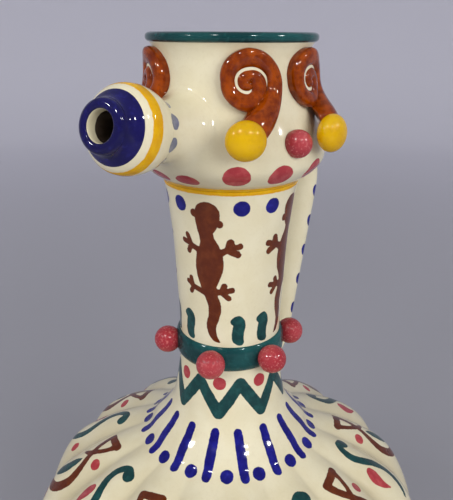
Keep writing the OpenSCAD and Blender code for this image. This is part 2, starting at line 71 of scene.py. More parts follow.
bpy.ops.object.camera_add(location=around(VIEW_FAR, VIEW_ANGLE, VIEW_HIGH))
camera = bpy.context.object
camera.name = "view_camera"
heading = math.radians(VIEW_ANGLE - VIEW_ASIDE)
down = math.radians(VIEW_DOWN)
look = Vector((-math.sin(heading) * math.cos(down), math.cos(heading) * math.cos(down), -math.sin(down)))
right = look.cross(Vector((0, 0, 1))).normalized()
above = right.cross(look)
roll = math.radians(VIEW_ROLL)
side = right * math.cos(roll) + above * math.sin(roll)
top = above * math.cos(roll) - right * math.sin(roll)
camera.rotation_euler = Matrix((side, top, -look)).transposed().to_euler()
camera.data.lens = SENSOR_MM * FOCAL_PX / PICTURE_H_PX
camera.data.sensor_width = SENSOR_MM
camera.data.sensor_fit = "AUTO"
camera.data.clip_start = 0.01
bpy.context.scene.camera = camera
print("camera at", [round(v, 3) for v in camera.location])

# %% [markdown]
# The jug is a set of turned forms, so its outlines are lists of stations: radius and height in millimetres.
# A smooth curve through the stations gives as many points as a piece needs.

# %% Outlines of the jug
Z_BASE, Z_EQUATOR, Z_NECK, Z_THROAT, BOWL_H = 10.0, 85.0, 176.0, 301.0, 57.2
Z_EDGE = Z_THROAT + BOWL_H
BODY_R, BASE_R, NECK_FOOT_R, NECK_R = 107.0, 66.0, 38.0, 24.2
THROAT_R, BELLY_R, WAIST_R, EDGE_R, RIM_R = 30.25, 41.0, 32.0, 33.5, 36.0
WALL = 4.5
NECK_H, COLLAR_HALF, COLLAR_R, COLLAR_SHARE = 125.0, 6.0, 26.2, 0.363
Z_COLLAR = Z_NECK + COLLAR_SHARE * NECK_H
SPAN_STEPS = 24


def smooth(stations, steps):
    """A smooth curve through the stations, with a number of steps in each span."""
    pts = np.array(stations, float)
    last = len(pts) - 1
    out = []
    for i in range(last):
        p0, p1, p2, p3 = pts[max(i - 1, 0)], pts[i], pts[i + 1], pts[min(i + 2, last)]
        for k in range(steps):
            t = k / steps
            bend = (2 * p0 - 5 * p1 + 4 * p2 - p3) * t * t + (3 * p1 - p0 - 3 * p2 + p3) * t ** 3
            out.append(0.5 * (2 * p1 + (p2 - p0) * t + bend))
    out.append(pts[last])
    return np.array(out)


def run_along(points):
    """Distance along a line of points, from the first to each of them."""
    return np.concatenate([[0], np.cumsum(np.linalg.norm(np.diff(points, axis=0), axis=1))])


def even(points, gap):
    """The same curve with its points at an even distance along it."""
    run = run_along(points)
    at = np.linspace(0, run[-1], max(2, int(round(run[-1] / gap)) + 1))
    return np.stack([np.interp(at, run, points[:, 0]), np.interp(at, run, points[:, 1])], 1)


def mix(a, b, share):
    return a + (b - a) * share


bowl_shares = [(0, 0), (0.09, 0.026), (0.28, 0.045), (0.6, 0.088), (0.93, 0.165), (1, 0.27)]
waist_shares = [(0.83, 0.37), (0.46, 0.51), (0.08, 0.70), (0, 0.86)]
bowl_stations = [[mix(THROAT_R, BELLY_R, s), Z_THROAT + h * BOWL_H] for s, h in bowl_shares]
bowl_stations += [[mix(WAIST_R, BELLY_R, s), Z_THROAT + h * BOWL_H] for s, h in waist_shares]
bowl_line = smooth(bowl_stations + [[EDGE_R - 0.6, Z_EDGE - 3.2], [EDGE_R + 1.0, Z_EDGE]], SPAN_STEPS)
low_shares = [(1, 0), (0.86, 0.018), (0.6, 0.05), (0.29, 0.106), (0.15, 0.18), (0.06, 0.25)]
up_shares = [(0.03, 0.50), (0.18, 0.617), (0.36, 0.772), (0.78, 0.948), (1, 1)]
neck_low = [[mix(NECK_R, NECK_FOOT_R, s), Z_NECK + h * NECK_H] for s, h in low_shares]
neck_up = [[mix(NECK_R, THROAT_R, s), Z_NECK + h * NECK_H] for s, h in up_shares]
at_collar = [[NECK_R, Z_COLLAR - COLLAR_HALF], [NECK_R, Z_COLLAR + COLLAR_HALF]]
body_up_shares = [(0, 0), (0.022, 0.2), (0.075, 0.405), (0.225, 0.640), (0.44, 0.776), (0.66, 0.862),
                  (0.86, 0.916), (0.95, 0.952)]
body_low_shares = [(1, 1), (0.58, 0.82), (0.32, 0.64), (0.13, 0.42), (0.04, 0.2)]
body_low = [[mix(BODY_R, BASE_R, s), mix(Z_EQUATOR, Z_BASE, h)] for s, h in body_low_shares]
body_up = [[mix(BODY_R, NECK_FOOT_R, s), mix(Z_EQUATOR, Z_NECK, h)] for s, h in body_up_shares]
pot_line = smooth(body_low + body_up + neck_low + at_collar + neck_up, SPAN_STEPS)


def bowl_r(z):
    return float(np.interp(z, bowl_line[:, 1], bowl_line[:, 0]))


def pot_r(z):
    return float(np.interp(z, pot_line[:, 1], pot_line[:, 0]))


print("outline points:", len(bowl_line), len(pot_line))

# %% [markdown]
# Most pieces are thrown on a wheel. In Blender that is a line of points spun about an axis.
# The line is drawn by extruding one vertex from station to station, and Spin turns it into a wall.
# Pieces that are pulled out, such as the stem of the nozzle and the scrolls, start as a flat grid that is
# rolled up along a path of rings, like a sheet of clay round a rod.

# %% Turning and rolling
MERGE_GAP = 2e-6


def deselect():
    if bpy.context.object and bpy.context.object.mode != "OBJECT":
        bpy.ops.object.mode_set(mode="OBJECT")
    bpy.ops.object.select_all(action="DESELECT")


def named(name):
    piece = bpy.context.object
    piece.name = name
    piece.data.name = name
    return piece


def edit_all():
    """Enters edit mode with everything selected."""
    bpy.ops.object.mode_set(mode="EDIT")
    bpy.ops.mesh.select_all(action="SELECT")


def leave_edit():
    """Merges doubles, turns the faces outwards and leaves edit mode."""
    bpy.ops.mesh.select_all(action="SELECT")
    bpy.ops.mesh.remove_doubles(threshold=MERGE_GAP)
    bpy.ops.mesh.normals_make_consistent(inside=False)
    bpy.ops.object.mode_set(mode="OBJECT")


def turned(name, outline, steps, centre=(0, 0, 0), axis=(0, 0, 1), across=(1, 0, 0)):
    """A wall spun from an outline of radius and height, in millimetres along the axis."""
    centre, axis, across = Vector(centre), Vector(axis), Vector(across)
    places = [centre + (across * float(r) + axis * float(h)) * MM for r, h in outline]
    deselect()
    bpy.ops.mesh.primitive_plane_add(size=2 * MM, location=(0, 0, 0))
    piece = named(name)
    edit_all()
    bpy.ops.mesh.merge(type="CENTER")
    bpy.ops.transform.translate(value=places[0])
    for a, b in zip(places, places[1:]):
        bpy.ops.mesh.extrude_vertices_move(TRANSFORM_OT_translate={"value": b - a})
    bpy.ops.mesh.select_all(action="SELECT")
    bpy.ops.mesh.spin(steps=steps, angle=2 * math.pi, center=centre, axis=axis)
    leave_edit()
    bpy.ops.object.shade_smooth()
    return piece


def rolled_up(name, rings):
    """A grid rolled up so that its rows lie on the rings, closed round and at both ends."""
    rings = np.array([list(ring) + [ring[0]] for ring in rings], float)
    deselect()
    bpy.ops.mesh.primitive_grid_add(x_subdivisions=rings.shape[1] - 1, y_subdivisions=rings.shape[0] - 1,
                                    size=1, location=(0, 0, 0))
    piece = named(name)
    piece.data.vertices.foreach_set("co", rings.reshape(-1))
    edit_all()
    bpy.ops.mesh.remove_doubles(threshold=MERGE_GAP)
    bpy.ops.mesh.select_all(action="SELECT")
    bpy.ops.mesh.fill_holes(sides=0)
    leave_edit()
    bpy.ops.object.shade_smooth()
    return piece


def report(piece):
    size = [round(v / MM, 1) for v in piece.dimensions]
    print(piece.name, "faces", len(piece.data.polygons), "size in mm", size)


# %% [markdown]
# Body and neck are one lobed pot on the outside, although the solids split it into three.
# It is thrown round first, with its inside, and closed at the base.
# Rows lie closer on the neck and the shoulder, where the painting is.

# %% Body and neck
Z_PAINTED = 150
LOW_GAP, UP_GAP, PAINTED_GAP, POT_STEPS = 5.0, 2.2, 1.05, 384
pot_high = pot_line[:, 1]
low_rows = even(pot_line[pot_high <= Z_EQUATOR], LOW_GAP)
up_rows = even(pot_line[(pot_high >= Z_EQUATOR) & (pot_high <= Z_PAINTED)], UP_GAP)
neck_rows = even(pot_line[pot_high >= Z_PAINTED], PAINTED_GAP)
inside = [[THROAT_R - WALL, Z_THROAT], [25.0, 294], [22.0, 270], [20.2, 245], [19.7, 215], [21, 195],
          [24, 187], [31, 178], [45, 162], [70, 150], [92, 118], [96, 85], [90, 45], [62, 16], [0, 15.5]]
pot_rows = np.concatenate([[[0, Z_BASE]], low_rows[:-1], up_rows[:-1], neck_rows, smooth(inside, 2)])
pot = turned("jug_wall", pot_rows, POT_STEPS)
report(pot)

# %% [markdown]
# The bowl stands on the neck. Its outline runs up the outside and comes back down the inside.

# %% Bowl
BOWL_GAP, BOWL_STEPS = 0.7, 256
bowl_rows = even(bowl_line, BOWL_GAP)
bowl_inside = [[EDGE_R - WALL, Z_EDGE], [28.2, 350], [27.2, 342], [26.9, 336], [26.9, 305], [25.75, 302.2],
               [25.75, Z_THROAT]]
bowl = turned("bowl_wall", np.concatenate([bowl_rows, bowl_inside, bowl_rows[:1]]), BOWL_STEPS)
report(bowl)

# %% [markdown]
# Painting comes before the lobes are pressed in, as long as the pot is still round.
# A brush stroke is a line of points with a width, and a spot is an oval. For each vertex the distance to
# the strokes of one colour is kept in an attribute: 0.5 on the edge, more inside and less outside.
# The material cuts the edge from that, so it stays sharp between the vertices.

# %% Brush strokes on a round wall
NO_PAINT, REACH, FAR_DOWN = -9.0, 9, 9e3
SKIN, EDGE_FADE, STROKE_STEP = 0.6, 4, 6


def down_to(z, line):
    """Distance down the wall from the top end of its outline to a height."""
    pts = line[::-1]
    return np.interp(-np.asarray(z, float), -pts[:, 1], run_along(pts))


def places_of(piece):
    co = np.empty(len(piece.data.vertices) * 3)
    piece.data.vertices.foreach_get("co", co)
    return co.reshape(-1, 3) / MM


def wall_places(piece, line):
    """Angle, radius and distance down the wall of every vertex; the inside gets a far distance."""
    co = places_of(piece)
    radius = np.hypot(co[:, 0], co[:, 1])
    wall_r = np.interp(co[:, 2], line[:, 1], line[:, 0])
    run = np.where(radius > wall_r - SKIN, down_to(co[:, 2], line), FAR_DOWN)
    return np.degrees(np.arctan2(co[:, 0], -co[:, 1])), radius, run


def stroke_depth(angle, radius, run, stroke):
    """How deep each place lies inside one stroke or spot: positive inside, in millimetres."""
    best = np.full(len(angle), NO_PAINT)
    downs = [q[1] for q in stroke]
    near = np.nonzero((run > min(downs) - REACH) & (run < max(downs) + REACH))[0]
    rad = np.radians(1.0) * radius[near]
    if len(stroke[0]) == 4:
        a, d, wide, high = stroke[0]
        x = ((a - angle[near] + 180) % 360 - 180) * rad
        best[near] = (1 - np.hypot(x / wide, (d - run[near]) / high)) * min(wide, high)
        return best
    for (a0, d0, w0), (a1, d1, w1) in zip(stroke, stroke[1:]):
        x0 = ((a0 - angle[near] + 180) % 360 - 180) * rad
        y0 = d0 - run[near]
        dx, dy = (a1 - a0) * rad, d1 - d0
        t = np.clip(-(x0 * dx + y0 * dy) / np.maximum(dx * dx + dy * dy, 1e-9), 0, 1)
        depth = w0 + (w1 - w0) * t - np.hypot(x0 + t * dx, y0 + t * dy)
        best[near] = np.maximum(best[near], depth)
    return best


def keep_depth(piece, colour, depth):
    layer = piece.data.attributes.get("paint_" + colour)
    if layer is None:
        layer = piece.data.attributes.new("paint_" + colour, "FLOAT", "POINT")
    layer.data.foreach_set("value", np.clip(0.5 + depth / EDGE_FADE, 0, 1).astype(np.float32))


def paint(piece, colour, places, strokes):
    """Keeps the strokes of one colour on a piece as an attribute for its material."""
    best = np.full(len(places[0]), NO_PAINT)
    for stroke in strokes:
        best = np.maximum(best, stroke_depth(*places, stroke))
    keep_depth(piece, colour, best)
    print(piece.name, colour, "strokes", len(strokes))


def curved(stroke, steps=4):
    """A stroke with a smooth line through its points."""
    return [tuple(q) for q in smooth(stroke, steps)] if len(stroke) > 2 else stroke


def drawn_at(drawing, angle, start, radius):
    """A flat drawing in millimetres, laid on the wall at an angle and a distance down it."""
    per_mm = math.degrees(1 / radius)
    laid = []
    for stroke in drawing:
        if len(stroke[0]) == 4:
            x, y, wide, high = stroke[0]
            laid.append([(angle + x * per_mm, start + y, wide, high)])
        else:
            laid.append([(angle + x * per_mm, start + y, w) for x, y, w in curved(stroke)])
    return laid


def faced(drawing, way):
    """A drawing as it is, or with left and right swapped where way is -1."""
    return [[(q[0] * way,) + q[1:] for q in stroke] for stroke in drawing]


def ring_round(at_down, half):
    return [(angle, at_down, half) for angle in range(-180, 181, STROKE_STEP)]


# %% [markdown]
# The figures on the neck are four small lizards, a common potter's motif. One stroke along the backbone
# gives head, body and curling tail. Two spots are the eyes, and each leg ends in three toes.
# Blue spots stand beside the heads and short green strokes beside the tails.

# %% Painting the neck
LIZARDS, LIZARD_WAYS, SPOT_TURNS = [16.5, 101.0, 195.0, 290.5], (1, -1, 1, -1), (0, 0.8, 0, 0)
SPOT_BESIDE, STROKE_TURN = 28.5, 0.8
HIGH_NECK_R, LOW_NECK_R = 27, 24.5
ZIGZAGS, ZIG_LOW_AT, ZIG_HIGH_AT = 8, 25, 2.5
ZIG_STEP = 360 / ZIGZAGS


def leg(root, foot, toe_half, toes):
    """A stroke from the body to the foot, and one from the foot to each toe."""
    return [[root, foot]] + [[(foot[0], foot[1], toe_half), toe] for toe in toes]


backbone = [(-0.6, 6.4, 5.8), (-1.0, 9.8, 5.2), (-1.7, 14, 3.6), (-1.0, 18, 3.4), (-0.2, 22.5, 4.8),
            (-0.5, 27.5, 6.4), (-0.9, 32, 6.3), (-1.3, 36.5, 4.8), (-1.0, 41, 3.4), (0.4, 45.5, 3.1),
            (1.7, 50, 3.0), (1.2, 54.5, 2.7), (-0.2, 59, 2.4), (0.1, 63, 2.0), (1.8, 66, 1.4),
            (3.8, 67.2, 0.5)]
eyes = [[(-6.6, 6.2, 1.7, 1.8)], [(4.6, 10.4, 1.7, 1.8)]]
legs = leg((3, 24.5, 1.9), (7.4, 22.4, 1.5), 1.2,
           [(9.2, 18.6, 1.7), (13.2, 20.4, 1.5), (12.4, 24.4, 1.5)])
legs += leg((-3.5, 24, 1.7), (-9.2, 21.6, 1.3), 1.1,
            [(-11.0, 17.2, 1.4), (-13.6, 20, 1.3), (-11.0, 24.6, 1.4)])
legs += leg((1, 42.6, 1.8), (4.8, 42.2, 1.4), 1.1,
            [(6.4, 39.2, 1.5), (10, 41.2, 1.4), (8.4, 45, 1.4)])
legs += leg((-3.5, 43, 1.6), (-9.4, 41.4, 1.2), 1.0,
            [(-10.8, 37.6, 1.3), (-13.0, 39.6, 1.2), (-11.0, 44, 1.3)])
lizard = [backbone] + eyes + legs
short_stroke = [[(-1.6, 1.4, 1.8), (0.2, 0.8, 2.4), (0.8, 3.5, 2.8), (0.1, 7.5, 2.8), (0.2, 10.5, 2.6),
                 (1.6, 12.0, 1.5)]]
brown, cobalt, green, pink, yellow = [], [], [], [], []
head_down, head_spot_down, tail_stroke_down = [float(down_to(z, pot_line)) for z in (297.0, 293.8, 241.8)]
for at, way, more in zip(LIZARDS, LIZARD_WAYS, SPOT_TURNS):
    brown += drawn_at(faced(lizard, way), at, head_down, HIGH_NECK_R)
    for beside in (-SPOT_BESIDE, SPOT_BESIDE):
        spot_at = at + beside + more
        cobalt.append([(spot_at, head_spot_down, 3.6, 3.5)])
        green += drawn_at(short_stroke, spot_at - STROKE_TURN, tail_stroke_down, LOW_NECK_R)
zig_low, zig_high, spot_down = [float(down_to(z, pot_line)) for z in (194.0, 208.8, 208.6)]
for k in range(ZIGZAGS):
    low, high = ZIG_LOW_AT + ZIG_STEP * k, ZIG_HIGH_AT + ZIG_STEP * k
    green.append([(high, zig_high, 2.8), (low, zig_low, 3.0), (high + ZIG_STEP, zig_high, 2.8)])
    pink.append([(low, spot_down, 3.2, 3.2)])
yellow.append(ring_round(0.0, 1.7))

# %% [markdown]
# Cobalt strokes and spots ring the shoulder, one stroke on each lobe and one spot in each valley.
# Below them the lobes carry two figures in turn: a brown ribbon with a loop, and a green curl.

# %% Painting the shoulder and the lobes
LOBES, SHOULDER_TOP, DASH_LEAN = 16, 205, 1.2
LOBE_STEP = 360 / LOBES


def shoulder_down(r):
    """Distance down the wall to where the shoulder has a radius."""
    part = pot_line[(pot_line[:, 1] > Z_EQUATOR) & (pot_line[:, 1] < SHOULDER_TOP)]
    order = np.argsort(part[:, 0])
    return float(down_to(np.interp(r, part[order, 0], part[order, 1]), pot_line))


dash_top, dash_end, dot_down = [shoulder_down(r) for r in (30.2, 43.6, 42.4)]
for k in range(LOBES):
    on_ridge, in_valley = LOBE_STEP * k, LOBE_STEP * (k + 0.5)
    lean = DASH_LEAN * math.sin(2.3 * k)
    cobalt.append([(on_ridge + lean, dash_top, 2.1), (on_ridge, (dash_top + dash_end) / 2, 2.4),
                   (on_ridge - lean * 0.6, dash_end, 2.2)])
    cobalt.append([(in_valley + lean, dot_down, 3.2, 3.1)])
ribbon = [[(-6.0, 2.4, 1.9), (5.6, 0.0, 2.1)],
          [(-6.0, 2.4, 1.9), (-3.6, 8, 1.8), (0.8, 15, 1.7), (5.0, 22, 2.0), (6.8, 30, 2.3), (4.2, 38, 2.5),
           (-1.6, 43, 2.4), (-7.5, 43.5, 1.6), (-11, 42, 0.8)],
          [(5.6, 0.0, 1.5), (3.0, 8, 1.3), (-0.6, 15, 1.5), (-4.0, 19, 0.8)]]
leaf = [[(0.4, 20, 0.5), (-0.6, 25.5, 2.6), (-1.4, 31, 3.2), (-3.4, 36, 2.5), (-5.4, 39, 0.8)]]
curl = [[(5.0, 0.8, 3.1, 3.1)],
        [(4.4, -0.9, 1.8), (1.6, -1.2, 1.9), (-1.5, 1.2, 2.0), (-3.0, 6, 2.1), (-1.4, 11.5, 2.2),
         (2.0, 18, 2.3), (4.0, 24.5, 2.2), (3.6, 31, 2.1), (1.2, 37, 1.8), (-1.8, 41.5, 0.8)]]
drop = [[(-4.6, 17.6, 2.4), (-5.3, 20.6, 3.2), (-5.6, 24.4, 2.2), (-5.0, 27.6, 1.2), (-4.0, 30.4, 0.4)]]
ribbon_spots, curl_spot = [[(8.2, 13.4, 2.8, 2.8)], [(-2.0, 50, 2.2, 3.4)]], [[(9.0, 33, 2.0, 3.6)]]
FIGURES_R, LOBE_R, SWAPPED = 58.0, 68, (3, 4)
figures_down = shoulder_down(FIGURES_R)
for k in range(LOBES // 2):
    way = -1 if k in SWAPPED else 1
    for strokes, drawing in ((brown, ribbon), (pink, ribbon_spots), (green, leaf)):
        strokes.extend(drawn_at(faced(drawing, way), LOBE_STEP * 2 * k, figures_down, LOBE_R))
    for strokes, drawing in ((green, curl), (pink, drop + curl_spot)):
        strokes.extend(drawn_at(drawing, LOBE_STEP * (2 * k + 1), figures_down, LOBE_R))
pot_places = wall_places(pot, pot_line)
for colour, strokes in (("brown", brown), ("cobalt", cobalt), ("green", green), ("pink", pink),
                        ("yellow", yellow)):
    paint(pot, colour, pot_places, strokes)

# %% [markdown]
# The bowl has a row of pink ovals low on its belly and the same yellow line at the throat.

# %% Painting the bowl
OVALS, LOW_OVALS = [39, 66, 95, 124, 152, 208, 236, 265, 292, 317], [8.0, 345.0]
bowl_places = wall_places(bowl, bowl_line)
oval_down, low_down, throat_down = [float(down_to(z, bowl_line)) for z in (309.2, 306.4, Z_THROAT)]
ovals = [[(a, oval_down + (1.0 if 60 < a < 100 else 0.5 * math.sin(a)), 5.6, 5.4)] for a in OVALS]
ovals += [[(a, low_down, 5.4, 3.6)] for a in LOW_OVALS]
paint(bowl, "pink", bowl_places, ovals)
paint(bowl, "yellow", bowl_places, [ring_round(throat_down, 1.9)])

# %% [markdown]
# Now the valleys between the lobes are pressed in by a Displace modifier that a vertex group steers:
# full weight in a valley, none on a ridge, fading out at neck and foot. The same weight is kept for
# the material, because glaze gathers in the valleys.

# %% Pressing in the lobes
LOBE_DEPTH, LOBE_TOP_R, LEVELS = 4.2, 31.0, 250
VALLEY_SHARP, VALLEY_SOFT, HIGH_FADE, LOW_FADE = 0.42, 0.02, 0.72, 0.6


def press_lobes(piece):
    angle, radius, run = wall_places(piece, pot_line)
    z = places_of(piece)[:, 2]
    ridge = np.cos(np.radians(angle * LOBES / 2)) ** 2
    valley = 1 - ((ridge + VALLEY_SOFT) / (1 + VALLEY_SOFT)) ** VALLEY_SHARP
    high = np.clip((radius - LOBE_TOP_R) / (BODY_R - LOBE_TOP_R) / HIGH_FADE, 0, 1)
    low = np.clip((radius - BASE_R) / (BODY_R - BASE_R) / LOW_FADE, 0, 1)
    share = np.where(z >= Z_EQUATOR, high, low)
    weight = np.where(run < FAR_DOWN, valley * share * share * (3 - 2 * share), 0)
    valleys = piece.vertex_groups.new(name="valleys")
    levels = np.round(weight * LEVELS).astype(int)
    for level in range(1, LEVELS + 1):
        picked = np.nonzero(levels == level)[0]
        if len(picked):
            valleys.add(picked.tolist(), level / LEVELS, "REPLACE")
    pool = piece.data.attributes.new("glaze_pool", "FLOAT", "POINT")
    pool.data.foreach_set("value", weight.astype(np.float32))
    press = piece.modifiers.new("press", "DISPLACE")
    press.vertex_group = "valleys"
    press.mid_level = 0.0
    press.strength = -LOBE_DEPTH / float(valley.max()) * MM
    bpy.context.view_layer.objects.active = piece
    bpy.ops.object.modifier_apply(modifier="press")
    piece.vertex_groups.clear()


press_lobes(pot)
report(pot)

# %% [markdown]
# The foot ring, the rolled lip and the collar are small turned rings.

# %% Foot, lip and collar
RING_STEPS = 192
LIP_IN_R, LIP_UP, LIP_HALF = 29.0, 1.6, 2.0
foot_stations = [[51, 10.5], [51, 1.2], [53, 0], [58.6, 0], [61.6, 1.6], [62, 4], [60.7, 7.6], [60.9, 10.5]]
foot_rows = smooth(foot_stations, 5)
foot_rows[:, 1] = np.maximum(foot_rows[:, 1], 0)
foot = turned("foot_turned", np.concatenate([foot_rows, foot_rows[:1]]), RING_STEPS)
lip_mid, lip_high = (RIM_R + LIP_IN_R) / 2, Z_EDGE + LIP_UP
lip_rows = [[lip_mid + (RIM_R - lip_mid) * math.copysign(abs(math.cos(a)) ** 0.7, math.cos(a)),
             lip_high + LIP_HALF * math.copysign(abs(math.sin(a)) ** 0.8, math.sin(a))]
            for a in np.radians(np.arange(0, 361, 10))]
lip = turned("lip_roll", lip_rows, RING_STEPS)
collar_rows = [[mix(NECK_R, COLLAR_R, 1 - 0.7 * abs(k) ** 4), Z_COLLAR + k * COLLAR_HALF]
               for k in np.linspace(-1, 1, 31)]
collar_rows = [[NECK_R - 1, Z_COLLAR - COLLAR_HALF]] + collar_rows + [[NECK_R - 1, Z_COLLAR + COLLAR_HALF]]
collar = turned("collar_band", collar_rows + collar_rows[:1], RING_STEPS)
for piece in (foot, lip, collar):
    report(piece)

# %% [markdown]
# The nozzle is turned about its own tilted axis: a round bulb and a blue tip with a rolled lip, both
# bored through. Cream glaze runs a little way into the bore; deeper in, the bore is painted dark as painted
# shade for its unlit inside.
# The stem is drawn out of the bowl: each line along it leaves the bulb straight and runs
# out on the wall of the bowl, so that no edge shows.

# %% Drinking nozzle
# The last value is how far into the bore the cream glaze reaches; deeper in, the bore is painted dark as
# painted shade.
BORE_R, BORE_END, SKIN_R, BORE_SHADE_FROM = 6.25, -22.0, 5.7, 10.4
BULB_BACK_R, BULB_BACK, BULB_FRONT = 15.0, -7.4, 8.0
ROOT_LIFT, NOZZLE_TURN, NOZZLE_LIFT = 11, 7, 12.5
BULB_STEPS, TIP_STEPS, BORE_STEPS = 160, 128, 96
WALL_NEAR, WALL_FAR, HALVINGS = -8.0, -50.0, 30
nozzle_mid = Vector((-0.45, -62.6, 328.85)) * MM


def axes(turn, lift):
    """Three directions of a stem that points out of the bowl: along it, up and sideways."""
    turned_by, lifted_by = math.radians(turn), math.radians(lift)
    way = around(math.cos(lifted_by), turn, math.sin(lifted_by))
    aside = Vector((math.cos(turned_by), math.sin(turned_by), 0))
    return way, way.cross(aside), aside


root_axes, nozzle_axes = axes(0, ROOT_LIFT), axes(NOZZLE_TURN, NOZZLE_LIFT)
nozzle_line = (nozzle_mid,) + nozzle_axes[:2]
bulb_out = smooth([[BULB_BACK_R, BULB_BACK], [16.0, -3.6], [16.4, 0], [16.0, 3.7], [14.5, 6.2],
                   [12.5, BULB_FRONT]], 10)
bore_back, bore_front = [[BORE_R, BULB_BACK]], [[BORE_R, BULB_FRONT]]
bulb_rows = np.concatenate([bore_back, bulb_out, bore_front, bore_back])
bulb = turned("nozzle_bulb_wall", bulb_rows, BULB_STEPS, *nozzle_line)
tip_out = smooth([[13.3, 7.4], [12.6, 8.1], [11.0, 9.5], [10.0, 11.0], [9.7, 12.3], [9.7, 13.4], [9.2, 14.6],
                  [8.1, 15.3], [6.9, 15.4], [6.1, 15.1], [5.85, 14.6]], 6)
tip_rows = np.concatenate([bore_front, tip_out, bore_front])
tip = turned("nozzle_tip_wall", tip_rows, TIP_STEPS, *nozzle_line)
bore_down = [[SKIN_R, h] for h in (14.2, 12.4, BORE_SHADE_FROM, 8.4, BORE_END)]
bore_rows = [[5.95, 14.7]] + bore_down + [[0, BORE_END], [0, BORE_END - 0.5], [6.15, BORE_END - 0.5]]
bore = turned("nozzle_bore_skin", bore_rows + bore_rows[:1], BORE_STEPS, *nozzle_line)


def stem_place(way_set, phi, rho, along):
    way, up, aside = way_set
    return nozzle_mid / MM + way * along + (up * math.cos(phi) + aside * math.sin(phi)) * rho


def wall_along(phi, rho):
    """Where a line beside the axis of the nozzle meets the wall of the bowl."""
    near, far = WALL_NEAR, WALL_FAR
    for _ in range(HALVINGS):
        along = (near + far) / 2
        q = stem_place(root_axes, phi, rho, along)
        within = math.hypot(q.x, q.y) < bowl_r(q.z)
        near, far = (near, along) if within else (along, far)
    return (near + far) / 2


STEM_SIDES, STEM_STEPS = 128, 28
ROOT_R, ROOT_TALL, ROOT_WIDE, ROOT_RUN = 16.2, 2.4, 2.0, 5.0
SLIM_R, SLIM_BACK, FULL_R, FULL_BACK, FULL_SIDE = 11.0, -12.8, 3.0, 1.2, math.radians(80)
RUN_OUT = ((1.2, 0.15), (2.0, 0.5), (2.2, 1.6))
stem_lines = []
for k in range(STEM_SIDES):
    phi = 2 * math.pi * k / STEM_SIDES
    wide = ROOT_R + ROOT_TALL * math.cos(phi) + ROOT_WIDE * math.sin(phi) ** 2
    foot_at = wall_along(phi, wide)
    slope = wall_along(phi, wide + 0.5) - wall_along(phi, wide - 0.5)
    full = max(0.0, math.cos(min(phi, 2 * math.pi - phi) - FULL_SIDE)) ** 3
    p0 = stem_place(nozzle_axes, phi, BULB_BACK_R, BULB_BACK)
    p1 = stem_place(nozzle_axes, phi, SLIM_R + FULL_R * full, SLIM_BACK + FULL_BACK * full)
    p2 = stem_place(root_axes, phi, wide - ROOT_RUN, foot_at - ROOT_RUN * slope)
    p3 = stem_place(root_axes, phi, wide, foot_at + 0.05)
    line = [stem_place(nozzle_axes, phi, BORE_R, along) for along in (BORE_END - 1, BULB_BACK)]
    for j in range(STEM_STEPS + 1):
        t = j / STEM_STEPS
        line.append(p0 * (1 - t) ** 3 + p1 * 3 * (1 - t) ** 2 * t + p2 * 3 * (1 - t) * t * t + p3 * t ** 3)
    for more, sunk in RUN_OUT:
        line.append(stem_place(root_axes, phi, wide + more, wall_along(phi, wide + more) - sunk))
    stem_lines.append([q * MM for q in line])
stem = rolled_up("nozzle_stem_wall", list(zip(*stem_lines)))
for piece in (stem, bulb, tip, bore):
    report(piece)

# %% [markdown]
# The yellow band on the bulb is painted round the axis of the nozzle, with the same strokes, but the
# angle is counted about that axis. The pale spots behind it are plain round dabs on the stem. The
# painted shade deep in the bore is kept as one more colour.

# %% Painting the nozzle


def nozzle_places(piece):
    rel = places_of(piece) - np.array(nozzle_mid) / MM
    along, up, aside = [rel @ np.array(way) for way in nozzle_axes]
    return np.degrees(np.arctan2(aside, up)), np.hypot(aside, up), along


def dab(piece, colour, middles, size, squeeze=(1, 1, 1)):
    """Round dabs of one colour about some points of a piece, in millimetres."""
    co = places_of(piece)
    best = np.full(len(co), NO_PAINT)
    for middle in middles:
        best = np.maximum(best, size - np.linalg.norm((co - np.array(middle)) * np.array(squeeze), axis=1))
    keep_depth(piece, colour, best)


DABS, FIRST_DAB, DAB_R, DAB_OUT, DAB_BACK = 11, 104, 3.0, 14.2, -8.4
paint(bulb, "yellow", nozzle_places(bulb), [ring_round(3.2, 2.1)])
dab_angles = [math.radians(FIRST_DAB + 360 * k / DABS) for k in range(DABS)]
dab_middles = [stem_place(nozzle_axes, phi, DAB_OUT, DAB_BACK) for phi in dab_angles]
for piece in (stem, bulb):
    dab(piece, "slate", dab_middles, DAB_R)
# Painted shade: deeper in than the cream glaze, the bore is painted dark for its unlit inside.
keep_depth(bore, "bore_shade", BORE_SHADE_FROM - nozzle_places(bore)[2])

# %% [markdown]
# The handle is a hollow strap of clay with an oval section, bent twice. An oval ring is spun about the
# centre of each bend, and extruded along the straight run between them. Its ends swell where they are
# pressed on the bowl and the neck.

# %% Handle
HANDLE_W, HANDLE_T, HANDLE_ROOT = 10.3, 8.4, 5.0
UPPER_BEND, LOWER_BEND = 23.0, 14.0
HANDLE_SIDES, UPPER_STEPS, STRAIGHT_STEPS, LOWER_STEPS = 48, 44, 90, 28
TOP_SHARE, LOW_SHARE = 0.228, 0.2
SWELL, SWELL_RUN = 0.30, 7


def pull(by):
    bpy.ops.mesh.extrude_region_move(TRANSFORM_OT_translate={"value": by})


